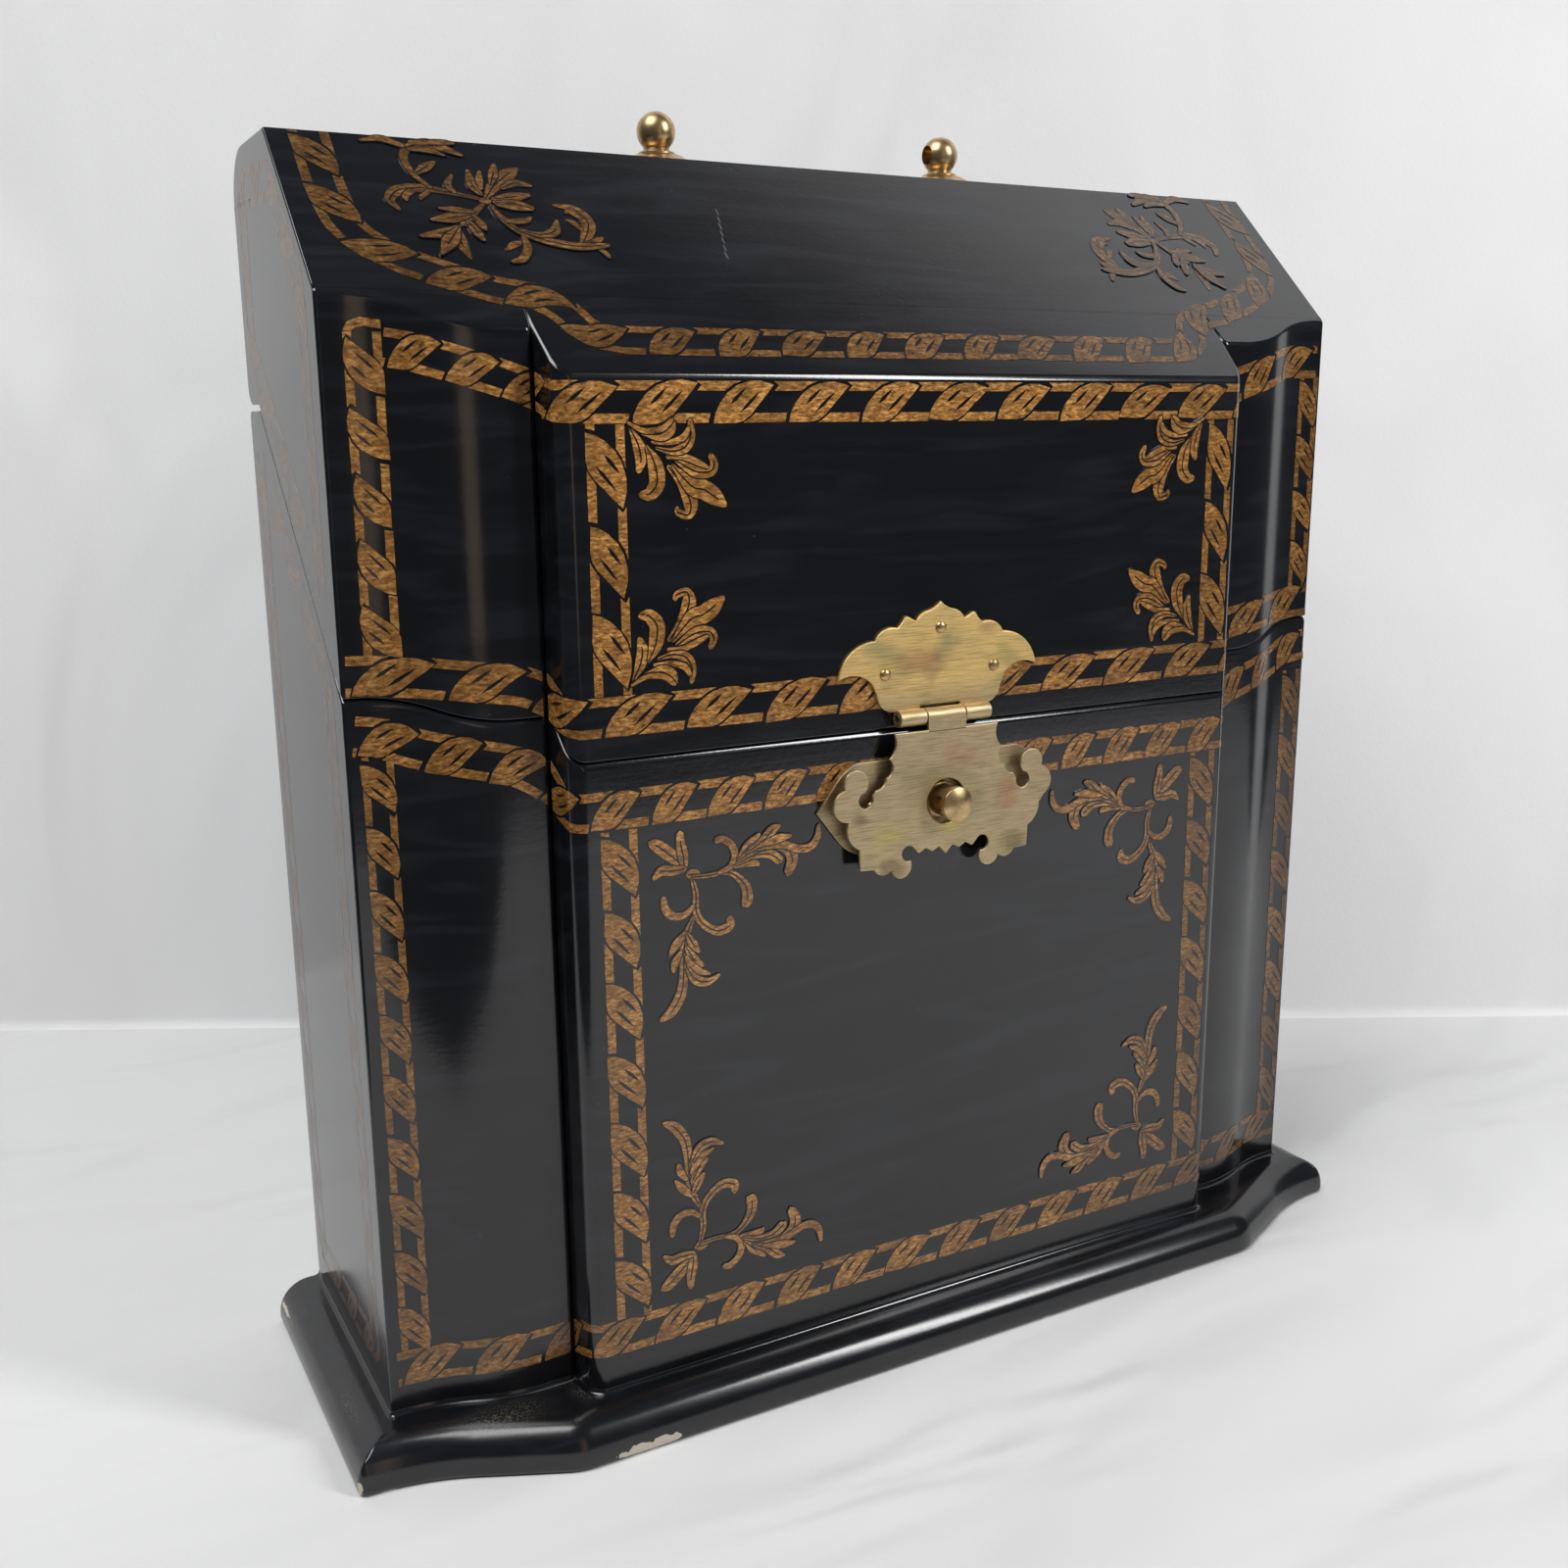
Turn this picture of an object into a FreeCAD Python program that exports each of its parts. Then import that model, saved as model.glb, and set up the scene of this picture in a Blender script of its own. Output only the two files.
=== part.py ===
import FreeCAD, Part
import Sketcher
import math
import os

# A letter box of lacquered wood with brass fittings. Its front has a raised middle block and an
# ogee wing on each side, the upper front slopes back to a narrow flat top, and one sloping saw
# cut parts the lid from the body. All lengths are in mm. X runs to the right as seen from the
# front, Y to the back and Z up. The origin is on the surface that the box stands on, in the
# middle of its footprint. Wooden pieces are drawn from the middle of the block's front, at the
# top of the plinth, and their bodies are placed there.

doc = FreeCAD.newDocument("letter_box")
sheet = doc.addObject("Spreadsheet::Sheet", "sizes")

SIZES = [
    ("front_face", -45.6, "where the block's front stands in Y"),
    ("case_width", 305, "side to side"),
    ("case_depth", 98.4, "block front to back"),
    ("case_height", 314.5, "plinth top to flat top"),
    ("side_thickness", 10, "side boards"),
    ("back_thickness", 12.8, "back boards"),
    ("front_thickness", 24, "block front to the flat inner face of the front"),
    ("top_thickness", 14, "top board, and the sloping panel measured upright"),
    ("block_half", 105.3, "half width of the block at its foot"),
    ("block_draft", 0.8, "how far the block's cheek leans in"),
    ("block_step", 10.4, "wing behind the block's front"),
    ("block_round", 4.5, "rounding of the block's upright edges"),
    ("quirk", 1.2, "small groove between wing and block"),
    ("ogee_start", 113.5, "where the ogee leaves the flat"),
    ("ogee_run", 36.5, "width of the ogee"),
    ("ogee_rise", 7.3, "depth of the ogee"),
    ("slope_foot", 257.3, "height of the slope's front edge"),
    ("slope_run", 57.6, "block front to the flat top"),
    ("cut_foot", 166.9, "height of the saw cut at the front"),
    ("cut_pitch", 0.979, "rise of the saw cut for each mm back"),
    ("kerf", 0.9, "gap of the saw cut, measured upright"),
    ("body_back_top", 250.3, "level part of the cut, body"),
    ("lid_back_foot", 251.9, "level part of the cut, lid"),
    ("top_back_round", 14, "rounding of the top board's back edge"),
    ("lid_back_round", 5, "rounding of the lid's lower back edge"),
    ("body_back_round", 2, "rounding of the body's upper back edge"),
    ("cut_round", 1.5, "rounding along the front of the cut"),
    ("plinth_height", 12, "floor to plinth top"),
    ("plinth_overhang", 12, "front and sides"),
    ("plinth_knee", 112.5, "half width of the plinth's straight front"),
    ("plinth_waist", 137, "where the plinth's edge starts to flatten"),
    ("plinth_waist_depth", -0.6, "Y of the edge there"),
    ("plinth_corner_depth", 5.4, "Y of the plinth's front corners"),
    ("plinth_nose", 9, "rounding of the upper edge"),
    ("plinth_foot_round", 1.2, "rounding of the lower edge"),
    ("divider_thickness", 4, "thin boards inside"),
    ("divider_play", 0.1, "play of a divider in its groove"),
    ("groove_depth", 3, "grooves in the side boards"),
    ("front_divider_at", 44, "Y of its front face"),
    ("rear_divider_at", 64.5, "Y of its front face"),
    ("divider_drop", 12, "below the saw cut"),
    ("hinge_at", 88, "hinges from the middle"),
    ("hinge_length", 40, "leaf and barrel"),
    ("hinge_leaf", 1.2, "leaf thickness"),
    ("hinge_leaf_depth", 10.5, "leaf into the board's edge"),
    ("barrel_radius", 2.4, "hinge barrel on the back"),
    ("hinge_axis_height", 251.1, "above the plinth top"),
    ("hinge_pin_radius", 1.2, "back hinges"),
    ("pin_play", 0.05, "running fit of hinge pins"),
    ("knuckle_gap", 0.2, "between knuckles"),
    ("screw_pitch", 14, "between hinge screws"),
    ("screw_radius", 1.1, "shank of a hinge screw"),
    ("screw_head_radius", 2.1, "countersunk head"),
    ("screw_length", 9, "head and shank"),
    ("hasp_width", 69.8, "lower leaf, widest"),
    ("hasp_axis_height", 170.3, "hasp barrel above the plinth top"),
    ("hasp_barrel_radius", 2.3, "hasp barrel"),
    ("hasp_axis_out", 2.45, "barrel axis in front of the block"),
    ("hasp_barrel_half", 14.4, "half length of the barrel"),
    ("hasp_middle_half", 6, "half length of the middle knuckle"),
    ("hasp_sheet", 1.1, "brass sheet of both leaves"),
    ("hasp_pin_radius", 1.2, "hasp hinge pin"),
    ("hasp_hole_radius", 6.1, "hole that drops over the post"),
    ("post_drop", 23, "post below the hasp barrel"),
    ("post_radius", 4.3, "turned post"),
    ("post_head_radius", 4.7, "domed end"),
    ("post_reach", 11.3, "end in front of the block"),
    ("post_eye_radius", 2.1, "padlock hole"),
    ("post_eye_out", 6.95, "padlock hole in front of the block"),
    ("stud_radius", 2, "threaded shanks"),
    ("stud_play", 0.1, "play of a shank in its hole"),
    ("plate_sheet", 1, "catch plate"),
    ("plate_half_width", 37.7, "catch plate, tip"),
    ("plate_half_height", 12.2, "catch plate"),
    ("pin_head_radius", 1.65, "round-head pins"),
    ("pin_shank_radius", 0.7, "round-head pins"),
    ("pin_length", 10, "shank in the wood"),
    ("nut_flat", 7, "nuts, across flats"),
    ("nut_height", 3.2, "nuts"),
    ("ball_at", 46, "ball posts from the middle"),
    ("ball_depth", 70.4, "ball posts behind the block's front"),
    ("ball_radius", 5.25, "ball"),
    ("ball_height", 8.5, "ball's middle above the flat top"),
    ("ball_bore_radius", 2.65, "blind hole for a bail"),
    ("rosette_radius", 10, "disc under a ball post"),
    ("rosette_height", 2.7, "disc under a ball post"),
]


class Size:
    """A number and the formula that it comes from, so that a sketch can be bound to the sheet."""

    def __init__(self, value, formula=None):
        self.value = float(value)
        self.formula = formula or repr(float(value))

    def __add__(self, other):
        other = size(other)
        return Size(self.value + other.value, f"({self.formula} + {other.formula})")

    def __sub__(self, other):
        other = size(other)
        return Size(self.value - other.value, f"({self.formula} - {other.formula})")

    def __mul__(self, other):
        other = size(other)
        return Size(self.value * other.value, f"({self.formula} * {other.formula})")

    def __truediv__(self, other):
        other = size(other)
        return Size(self.value / other.value, f"({self.formula} / {other.formula})")

    def __neg__(self):
        return self * -1

    __radd__ = __add__
    __rmul__ = __mul__

    def __rsub__(self, other):
        return size(other) - self


def size(number):
    return number if isinstance(number, Size) else Size(number)


def fill_sheet():
    for row, (alias, value, note) in enumerate(SIZES, start=1):
        sheet.set(f"A{row}", alias.replace("_", " "))
        sheet.set(f"B{row}", str(value))
        sheet.setAlias(f"B{row}", alias)
        sheet.set(f"C{row}", note)
    doc.recompute()


fill_sheet()


class Named:
    """Each size of the sheet under its own name."""


m = Named()
for alias, value, note in SIZES:
    setattr(m, alias, Size(value, f"sizes.{alias}"))

half = m.case_width / 2
inner_half = half - m.side_thickness
inner_back = m.case_depth - m.back_thickness
wing_end = m.block_step + m.ogee_rise
slope_pitch = (m.case_height - m.slope_foot) / m.slope_run
top_underside = m.case_height - m.top_thickness
post_height = m.hasp_axis_height - m.post_drop
barrel_out = m.case_depth + m.barrel_radius
ABOVE = Size(400)
BELOW = Size(-20)
VECTOR = FreeCAD.Vector


def body_cut(depth):
    """Height of the body's side of the saw cut, this far behind the block's front."""
    return m.cut_foot - m.kerf / 2 + m.cut_pitch * depth


def lid_cut(depth):
    """Height of the lid's side of the saw cut."""
    return m.cut_foot + m.kerf / 2 + m.cut_pitch * depth


def slope(depth):
    """Height of the sloping face."""
    return m.slope_foot + slope_pitch * depth


# Helpers for bodies, sketches and features


def new_body(label, x=0, y=0, z=0):
    """A body whose own origin is at this place, counted from the block's front and plinth top."""
    body = doc.addObject("PartDesign::Body", label)
    body.Label = label
    for axis, place in (("x", size(x)), ("y", m.front_face + y), ("z", m.plinth_height + z)):
        body.setExpression(f"Placement.Base.{axis}", place.formula)
    return body


def new_sketch(body, role, name, offset=0):
    """A sketch on one of the body's own planes: XY, XZ (faces the front) or YZ."""
    plane = [part for part in body.Origin.OriginFeatures if part.Role == f"{role}_Plane"][0]
    sketch = body.newObject("Sketcher::SketchObject", f"{body.Label}_{name}")
    sketch.AttachmentSupport = (plane, [""])
    sketch.MapMode = "FlatFace"
    sketch.setExpression("AttachmentOffset.Base.z", size(offset).formula)
    return sketch


def bind(sketch, sizes):
    """Driving dimensions that take their values from the sheet."""
    first = sketch.ConstraintCount
    sketch.addConstraint([Sketcher.Constraint(kind, *places, length.value)
                          for kind, name, places, length in sizes])
    for index, (kind, name, places, length) in enumerate(sizes, start=first):
        sketch.renameConstraint(index, name)
        sketch.setExpression(f"Constraints.{name}", length.formula)


def arc_through(start, end, radius):
    """The minor arc between two points. A positive radius turns left, a negative one right."""
    middle = (start + end) / 2
    chord = end - start
    reach = math.sqrt(max(radius * radius - chord.Length * chord.Length / 4, 0))
    left = VECTOR(-chord.y, chord.x, 0).normalize()
    centre = middle + left * math.copysign(reach, radius)
    circle = Part.Circle(centre, VECTOR(0, 0, 1), abs(radius))
    first, last = (start, end) if radius > 0 else (end, start)
    angles = [math.atan2(point.y - centre.y, point.x - centre.x) for point in (first, last)]
    return Part.ArcOfCircle(circle, angles[0], angles[1])


def outline(sketch, start, steps, name="edge"):
    """A closed outline. A step is a point, or a point and the radius of the arc that leads there."""
    corners = [start] + [step[:2] for step in steps]
    points = [VECTOR(size(x).value, size(y).value, 0) for x, y in corners]
    radii = [step[2] if len(step) > 2 else None for step in steps]
    if (points[-1] - points[0]).Length > 1e-6:
        radii.append(None)
    shapes = []
    ends = []
    sizes = []
    for at, radius in enumerate(radii):
        here = points[at]
        there = points[(at + 1) % len(points)]
        index = sketch.GeometryCount + at
        if radius is None:
            shapes.append(Part.LineSegment(here, there))
            ends.append((index, 1, 2))
            continue
        radius = size(radius)
        turns_left = radius.value > 0
        shapes.append(arc_through(here, there, radius.value))
        ends.append((index, 1, 2) if turns_left else (index, 2, 1))
        sizes.append(("Radius", f"{name}_{at}_radius", (index,), radius if turns_left else -radius))
    joints = []
    for place, (index, first, last) in enumerate(ends):
        following = ends[(place + 1) % len(ends)]
        joints.append(Sketcher.Constraint("Coincident", index, last, following[0], following[1]))
        x, y = corners[place]
        sizes.append(("DistanceX", f"{name}_{place}_x", (-1, 1, index, first), size(x)))
        sizes.append(("DistanceY", f"{name}_{place}_y", (-1, 1, index, first), size(y)))
    sketch.addGeometry(shapes, False)
    sketch.addConstraint(joints)
    bind(sketch, sizes)


def circle(sketch, x, y, radius, name="round"):
    x, y, radius = size(x), size(y), size(radius)
    index = sketch.addGeometry(Part.Circle(VECTOR(x.value, y.value, 0), VECTOR(0, 0, 1), radius.value), False)
    bind(sketch, [("DistanceX", f"{name}_x", (-1, 1, index, 3), x),
                  ("DistanceY", f"{name}_y", (-1, 1, index, 3), y),
                  ("Radius", f"{name}_radius", (index,), radius)])


def rectangle(sketch, x0, y0, x1, y1, name="edge"):
    outline(sketch, (x0, y0), [(x1, y0), (x1, y1), (x0, y1)], name)


def add_feature(body, kind, sketch, length, side="One side", backwards=False):
    """A Pad or a Pocket, and a test that it really added or took away material."""
    doc.recompute()
    before = body.Shape.Volume if body.Tip and not body.Shape.isNull() else 0.0
    feature = body.newObject(f"PartDesign::{kind}", f"{sketch.Label}_{kind.lower()}")
    feature.Profile = sketch
    feature.SideType = side
    feature.Reversed = backwards
    if length is None:
        feature.Type = "ThroughAll"
    else:
        feature.setExpression("Length", size(length).formula)
    doc.recompute()
    change = body.Shape.Volume - before
    if (change <= 0) if kind == "Pad" else (change >= 0):
        raise RuntimeError(f"{feature.Name} changed nothing")
    return feature


def pad(body, sketch, length, side="One side", backwards=False):
    return add_feature(body, "Pad", sketch, length, side, backwards)


def pocket(body, sketch, length=None, side="Symmetric", backwards=False):
    return add_feature(body, "Pocket", sketch, length, side, backwards)


def turn(body, sketch):
    """A solid turned about the sketch's upright axis."""
    feature = body.newObject("PartDesign::Revolution", f"{body.Label}_turned")
    feature.Profile = sketch
    feature.ReferenceAxis = (sketch, ["V_Axis"])
    doc.recompute()
    return feature


def round_edges(body, radius, chosen):
    """A Fillet on the edges for which chosen(edge) holds."""
    base = body.Tip
    names = [f"Edge{at}" for at, edge in enumerate(base.Shape.Edges, start=1) if chosen(edge)]
    if not names:
        raise RuntimeError(f"{body.Label} has no such edge")
    feature = body.newObject("PartDesign::Fillet", f"{body.Label}_round_{len(body.Group)}")
    feature.Base = (base, names)
    feature.setExpression("Radius", size(radius).formula)
    doc.recompute()
    return feature


def long_board(label, start, steps, length, x=0):
    """A board with one section from end to end, drawn in side view and padded along X."""
    body = new_body(label, x=x)
    sketch = new_sketch(body, "YZ", "section")
    outline(sketch, start, steps)
    pad(body, sketch, length, side="Symmetric")
    return body


def trim(body, start, steps, name):
    """Cuts away everything inside an outline drawn in side view."""
    sketch = new_sketch(body, "YZ", name)
    outline(sketch, start, steps)
    pocket(body, sketch)


def saw_off_lid(body):
    """Leaves the part of a front board that is below the saw cut."""
    trim(body, (BELOW, body_cut(BELOW)), [(ABOVE, body_cut(ABOVE)), (ABOVE, ABOVE * 3), (BELOW, ABOVE * 3)],
         "saw_cut")


def saw_off_body(body):
    """Leaves the part of a front board between the saw cut and the sloping panel."""
    trim(body, (BELOW, lid_cut(BELOW)), [(BELOW, -ABOVE), (ABOVE, -ABOVE), (ABOVE, lid_cut(ABOVE))],
         "saw_cut")
    under = slope(BELOW) - m.top_thickness
    over = slope(ABOVE) - m.top_thickness
    trim(body, (BELOW, under), [(ABOVE, over), (ABOVE, ABOVE * 3), (BELOW, ABOVE * 3)], "under_panel")


# Wooden pieces


def ogee_steps(hand):
    """The wing's front in plan, from the end of its inner flat to the case's side."""
    radius = (m.ogee_run * m.ogee_run + m.ogee_rise * m.ogee_rise) / (m.ogee_rise * 4)
    middle = ((m.ogee_start + m.ogee_run / 2) * hand, m.block_step + m.ogee_rise / 2)
    end = ((m.ogee_start + m.ogee_run) * hand, wing_end)
    return [middle + (radius * hand,), end + (radius * -hand,), (half * hand, wing_end)]


def block_steps():
    """The block's front in plan, from its left foot to its right foot."""
    cheek = m.block_half - m.block_draft
    flat = cheek - m.block_round
    return [(-cheek, m.block_round), (-flat, 0, m.block_round), (flat, 0),
            (cheek, m.block_round, m.block_round), (m.block_half, m.block_step)]


def front_block(label, trim_board):
    body = new_body(label)
    sketch = new_sketch(body, "XY", "plan")
    outline(sketch, (-m.block_half, m.front_thickness),
            [(-m.block_half, m.block_step)] + block_steps() + [(m.block_half, m.front_thickness)])
    pad(body, sketch, m.case_height)
    trim_board(body)
    return body


def wing(label, hand, trim_board):
    """An ogee moulding, sawn with the case. hand is -1 on the left and 1 on the right."""
    body = new_body(label)
    sketch = new_sketch(body, "XY", "plan")
    foot = m.block_half * hand
    outline(sketch, (foot, m.front_thickness),
            [(foot, m.block_step + m.quirk), ((m.block_half + m.quirk) * hand, m.block_step),
             (m.ogee_start * hand, m.block_step)] + ogee_steps(hand)
            + [(half * hand, m.front_thickness)])
    pad(body, sketch, m.case_height)
    trim_board(body)
    return body


def lies_on(height, edge):
    """Whether an edge runs along the saw cut at the front of a board."""
    points = [edge.valueAt(edge.FirstParameter + (edge.LastParameter - edge.FirstParameter) * share)
              for share in (0.0, 0.5, 1.0)]
    on_cut = all(abs(point.z - height(point.y)) < 0.01 for point in points)
    at_front = all(point.y < m.front_thickness.value - 1 for point in points)
    return on_cut and at_front


def ease_cut(body, height):
    """Rounds the front edge of the saw cut."""
    def at_cut(edge):
        return lies_on(lambda depth: height(Size(depth)).value, edge)
    round_edges(body, m.cut_round, at_cut)


def plinth():
    body = new_body("plinth_board", z=-m.plinth_height)
    sketch = new_sketch(body, "XY", "plan")
    side = half + m.plinth_overhang
    front = -m.plinth_overhang
    run = side - m.plinth_waist
    rise = m.plinth_corner_depth - m.plinth_waist_depth
    flank = (run * run + rise * rise) / (rise * 2)
    steps = [(-side, m.plinth_corner_depth),
             (-m.plinth_waist, m.plinth_waist_depth, -flank),
             (-m.plinth_knee, front),
             (m.plinth_knee, front),
             (m.plinth_waist, m.plinth_waist_depth),
             (side, m.plinth_corner_depth, -flank),
             (side, m.case_depth)]
    outline(sketch, (-side, m.case_depth), steps)
    pad(body, sketch, m.plinth_height)

    def at_rim(height):
        def chosen(edge):
            box = edge.BoundBox
            level = abs(box.ZMin - height) < 0.01 and abs(box.ZMax - height) < 0.01
            return level and box.YMin < m.case_depth.value - 0.01
        return chosen

    round_edges(body, m.plinth_nose, at_rim(m.plinth_height.value))
    round_edges(body, m.plinth_foot_round, at_rim(0))
    return body


def side_board(label, hand, steps, start):
    x = (half - m.side_thickness / 2) * hand
    return long_board(label, start, steps, m.side_thickness, x=x)


def body_side(label, hand):
    body = side_board(label, hand, [(inner_back, 0), (inner_back, body_cut(inner_back)),
                                    (m.front_thickness, body_cut(m.front_thickness))],
                      (m.front_thickness, 0))
    sketch = new_sketch(body, "XY", "grooves")
    edge = m.side_thickness / -2 * hand
    for number, at in enumerate((m.front_divider_at, m.rear_divider_at)):
        rectangle(sketch, edge, at - m.divider_play, edge + m.groove_depth * hand,
                  at + m.divider_thickness + m.divider_play, f"groove_{number}")
    pocket(body, sketch)
    return body


def lid_side(label, hand):
    edge = m.front_thickness
    return side_board(label, hand, [(inner_back, lid_cut(inner_back)), (inner_back, top_underside),
                                    (m.slope_run, top_underside), (edge, slope(edge) - m.top_thickness)],
                      (edge, lid_cut(edge)))


def divider(label, at):
    middle = at + m.divider_thickness / 2
    top = body_cut(middle) - m.divider_drop
    width = (inner_half + m.groove_depth - m.divider_play) * 2
    return long_board(label, (at, 0), [(at + m.divider_thickness, 0), (at + m.divider_thickness, top),
                                       (at, top)], width)


def slope_panel():
    body = long_board("lid_slope_panel", (BELOW, slope(BELOW) - m.top_thickness),
                      [(m.slope_run, top_underside), (m.slope_run, m.case_height), (BELOW, slope(BELOW))],
                      m.case_width)
    sketch = new_sketch(body, "XY", "front_shape")
    wide = half + 10
    ahead = BELOW - 10
    steps = ([(-half, wing_end)]
             + [step for step in reversed_steps(ogee_steps(-1), (-m.ogee_start, m.block_step))]
             + [(-(m.block_half + m.quirk), m.block_step), (-m.block_half, m.block_step + m.quirk),
                (-m.block_half, m.block_step)]
             + block_steps()
             + [(m.block_half, m.block_step + m.quirk), (m.block_half + m.quirk, m.block_step),
                (m.ogee_start, m.block_step)]
             + ogee_steps(1)
             + [(wide, wing_end), (wide, ahead), (-wide, ahead)])
    outline(sketch, (-wide, wing_end), steps)
    pocket(body, sketch, None, side="Symmetric")
    return body


def reversed_steps(steps, start):
    """The same edge walked from its far end, which comes first in the list that is built."""
    corners = [start] + [step[:2] for step in steps]
    radii = [step[2] if len(step) > 2 else None for step in steps]
    walked = []
    for at in range(len(steps) - 1, -1, -1):
        walked.append(corners[at] if radii[at] is None else corners[at] + (-radii[at],))
    return walked


def top_board():
    back_edge = m.case_depth - m.top_back_round
    body = long_board("lid_top_board", (m.slope_run, top_underside),
                      [(m.case_depth, top_underside),
                       (m.case_depth, m.case_height - m.top_back_round),
                       (back_edge, m.case_height, m.top_back_round), (m.slope_run, m.case_height)]
                      if m.top_back_round.value < m.top_thickness.value else
                      [(m.case_depth, top_underside), (back_edge, m.case_height, m.top_back_round),
                       (m.slope_run, m.case_height)],
                      m.case_width)
    sketch = new_sketch(body, "XY", "stud_holes")
    for hand in (-1, 1):
        circle(sketch, m.ball_at * hand, m.ball_depth, m.stud_radius + m.stud_play,
               "left" if hand < 0 else "right")
    pocket(body, sketch)
    return body


def hinge_seats(body, height, upwards):
    """Recesses for the two hinge leaves in the edge of a back board, and holes for the screws."""
    sketch = new_sketch(body, "XY", "hinge_seats", offset=height)
    for hand in (-1, 1):
        middle = m.hinge_at * hand
        rectangle(sketch, middle - m.hinge_length / 2, m.case_depth - m.hinge_leaf_depth,
                  middle + m.hinge_length / 2, m.case_depth + 1, "left" if hand < 0 else "right")
    pocket(body, sketch, m.hinge_leaf, side="One side", backwards=upwards)
    sketch = new_sketch(body, "XY", "screw_holes", offset=height)
    for hand in (-1, 1):
        for number in (-1, 0, 1):
            circle(sketch, m.hinge_at * hand + m.screw_pitch * number, screw_row,
                   m.screw_radius + m.divider_play / 2, f"hole_{hand + 1}_{number + 1}")
    pocket(body, sketch, m.screw_length + 1, side="One side", backwards=upwards)


screw_row = m.case_depth - m.hinge_leaf_depth / 2


def back_board(label, foot, top, foot_round=None, top_round=None):
    """A back board, with its outer edge rounded at the foot or at the top."""
    steps = []
    if foot_round is None:
        steps.append((m.case_depth, foot))
    else:
        steps.append((m.case_depth - foot_round, foot))
        steps.append((m.case_depth, foot + foot_round, foot_round))
    if top_round is None:
        steps.append((m.case_depth, top))
    else:
        steps.append((m.case_depth, top - top_round))
        steps.append((m.case_depth - top_round, top, top_round))
    steps.append((inner_back, top))
    return long_board(label, (inner_back, foot), steps, m.case_width)


def hole_through_front(body, height, radius):
    sketch = new_sketch(body, "XZ", "stud_hole")
    circle(sketch, 0, height, radius)
    pocket(body, sketch)


def pin_holes(body, places):
    """Blind holes in the front for the round-head pins."""
    sketch = new_sketch(body, "XZ", "pin_holes")
    for number, (x, z) in enumerate(places, start=1):
        circle(sketch, x, z, m.pin_shank_radius, f"pin_{number}")
    pocket(body, sketch, m.pin_length, side="One side")


# Brass pieces


def hinge_leaf(label, hand, on_lid):
    """One leaf of a back hinge: a flat leaf in the board's edge and its share of the barrel."""
    body = new_body(label, x=m.hinge_at * hand)
    low = m.lid_back_foot if on_lid else m.body_back_top - m.hinge_leaf
    sketch = new_sketch(body, "YZ", "leaf")
    rectangle(sketch, m.case_depth - m.hinge_leaf_depth, low, barrel_out, low + m.hinge_leaf)
    pad(body, sketch, m.hinge_length, side="Symmetric")
    sketch = new_sketch(body, "YZ", "barrel")
    circle(sketch, barrel_out, m.hinge_axis_height, m.barrel_radius)
    pad(body, sketch, m.hinge_length, side="Symmetric")
    sketch = new_sketch(body, "YZ", "bore")
    bore = m.hinge_pin_radius + m.pin_play if on_lid else m.hinge_pin_radius
    circle(sketch, barrel_out, m.hinge_axis_height, bore)
    pocket(body, sketch)
    sketch = new_sketch(body, "XY", "knuckles")
    third = m.hinge_length / 6
    near = m.case_depth - 0.3
    far = barrel_out + 5
    if on_lid:
        end = m.hinge_length / 2 + 1
        rectangle(sketch, third, near, end, far, "right")
        rectangle(sketch, -end, near, -third, far, "left")
    else:
        rectangle(sketch, -(third + m.knuckle_gap), near, third + m.knuckle_gap, far)
    pocket(body, sketch)
    sketch = new_sketch(body, "XY", "screw_holes")
    for number in (-1, 0, 1):
        circle(sketch, m.screw_pitch * number, screw_row, m.screw_head_radius, f"hole_{number + 1}")
    pocket(body, sketch)
    return body


def turned_piece(label, role, start, steps, x=0, y=0, z=0):
    """A solid of revolution: the first number of a point is a radius, the second runs along the axis."""
    body = new_body(label, x, y, z)
    sketch = new_sketch(body, role, "section")
    outline(sketch, start, steps)
    turn(body, sketch)
    return body


def group(label, pieces):
    """Like pieces that share one node, as separate solids."""
    compound = doc.addObject("Part::Compound", label)
    compound.Label = label
    compound.Links = pieces
    return compound


def hinge_screws(label, height, down):
    """Countersunk screws, with their flat heads flush with the leaf."""
    way = -1 if down else 1
    pieces = []
    for hand in (-1, 1):
        for number in (-1, 0, 1):
            start = (Size(0), Size(0))
            tip = m.screw_length * way
            neck = m.hinge_leaf * way
            steps = [(m.screw_head_radius, 0), (m.screw_head_radius, neck * 0.99), (m.screw_radius, neck),
                     (m.screw_radius, tip * 0.8), (0, tip)]
            pieces.append(turned_piece(f"{label}_{hand + 1}{number + 1}", "XZ", start, steps,
                                       x=m.hinge_at * hand + m.screw_pitch * number, y=screw_row, z=height))
    return group(label, pieces)


def round_pin(label, x, z, sheet_thickness):
    """A round-head pin driven through a sheet into the wood, drawn along -Y."""
    shank = m.pin_shank_radius
    head = m.pin_head_radius
    dome = head * 0.62
    radius = (head * head + dome * dome) / (dome * 2)
    start = (Size(0), m.pin_length)
    steps = [(0, -(sheet_thickness + dome)), (head, -sheet_thickness, radius), (shank, -sheet_thickness),
             (shank, m.pin_length - 2)]
    return turned_piece(label, "XY", start, steps, x=x, z=z)


def sheet_outline(sketch, start, steps, scale, name="edge"):
    """A fretted edge that is the same on both sides, given as its right half from top to bottom."""
    first = (size(start[0]) * scale, size(start[1]) * scale)
    right = [tuple(size(number) * scale for number in step) for step in steps]
    left = [((-corner[0],) + corner[1:2] + ((-radius,) if radius else ()))
            for corner, radius in mirrored(first, right)]
    outline(sketch, first, right + left[:-1] if same_place(first, left[-1]) else right + left, name)


def same_place(first, second):
    return abs(first[0].value - second[0].value) < 1e-6 and abs(first[1].value - second[1].value) < 1e-6


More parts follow.
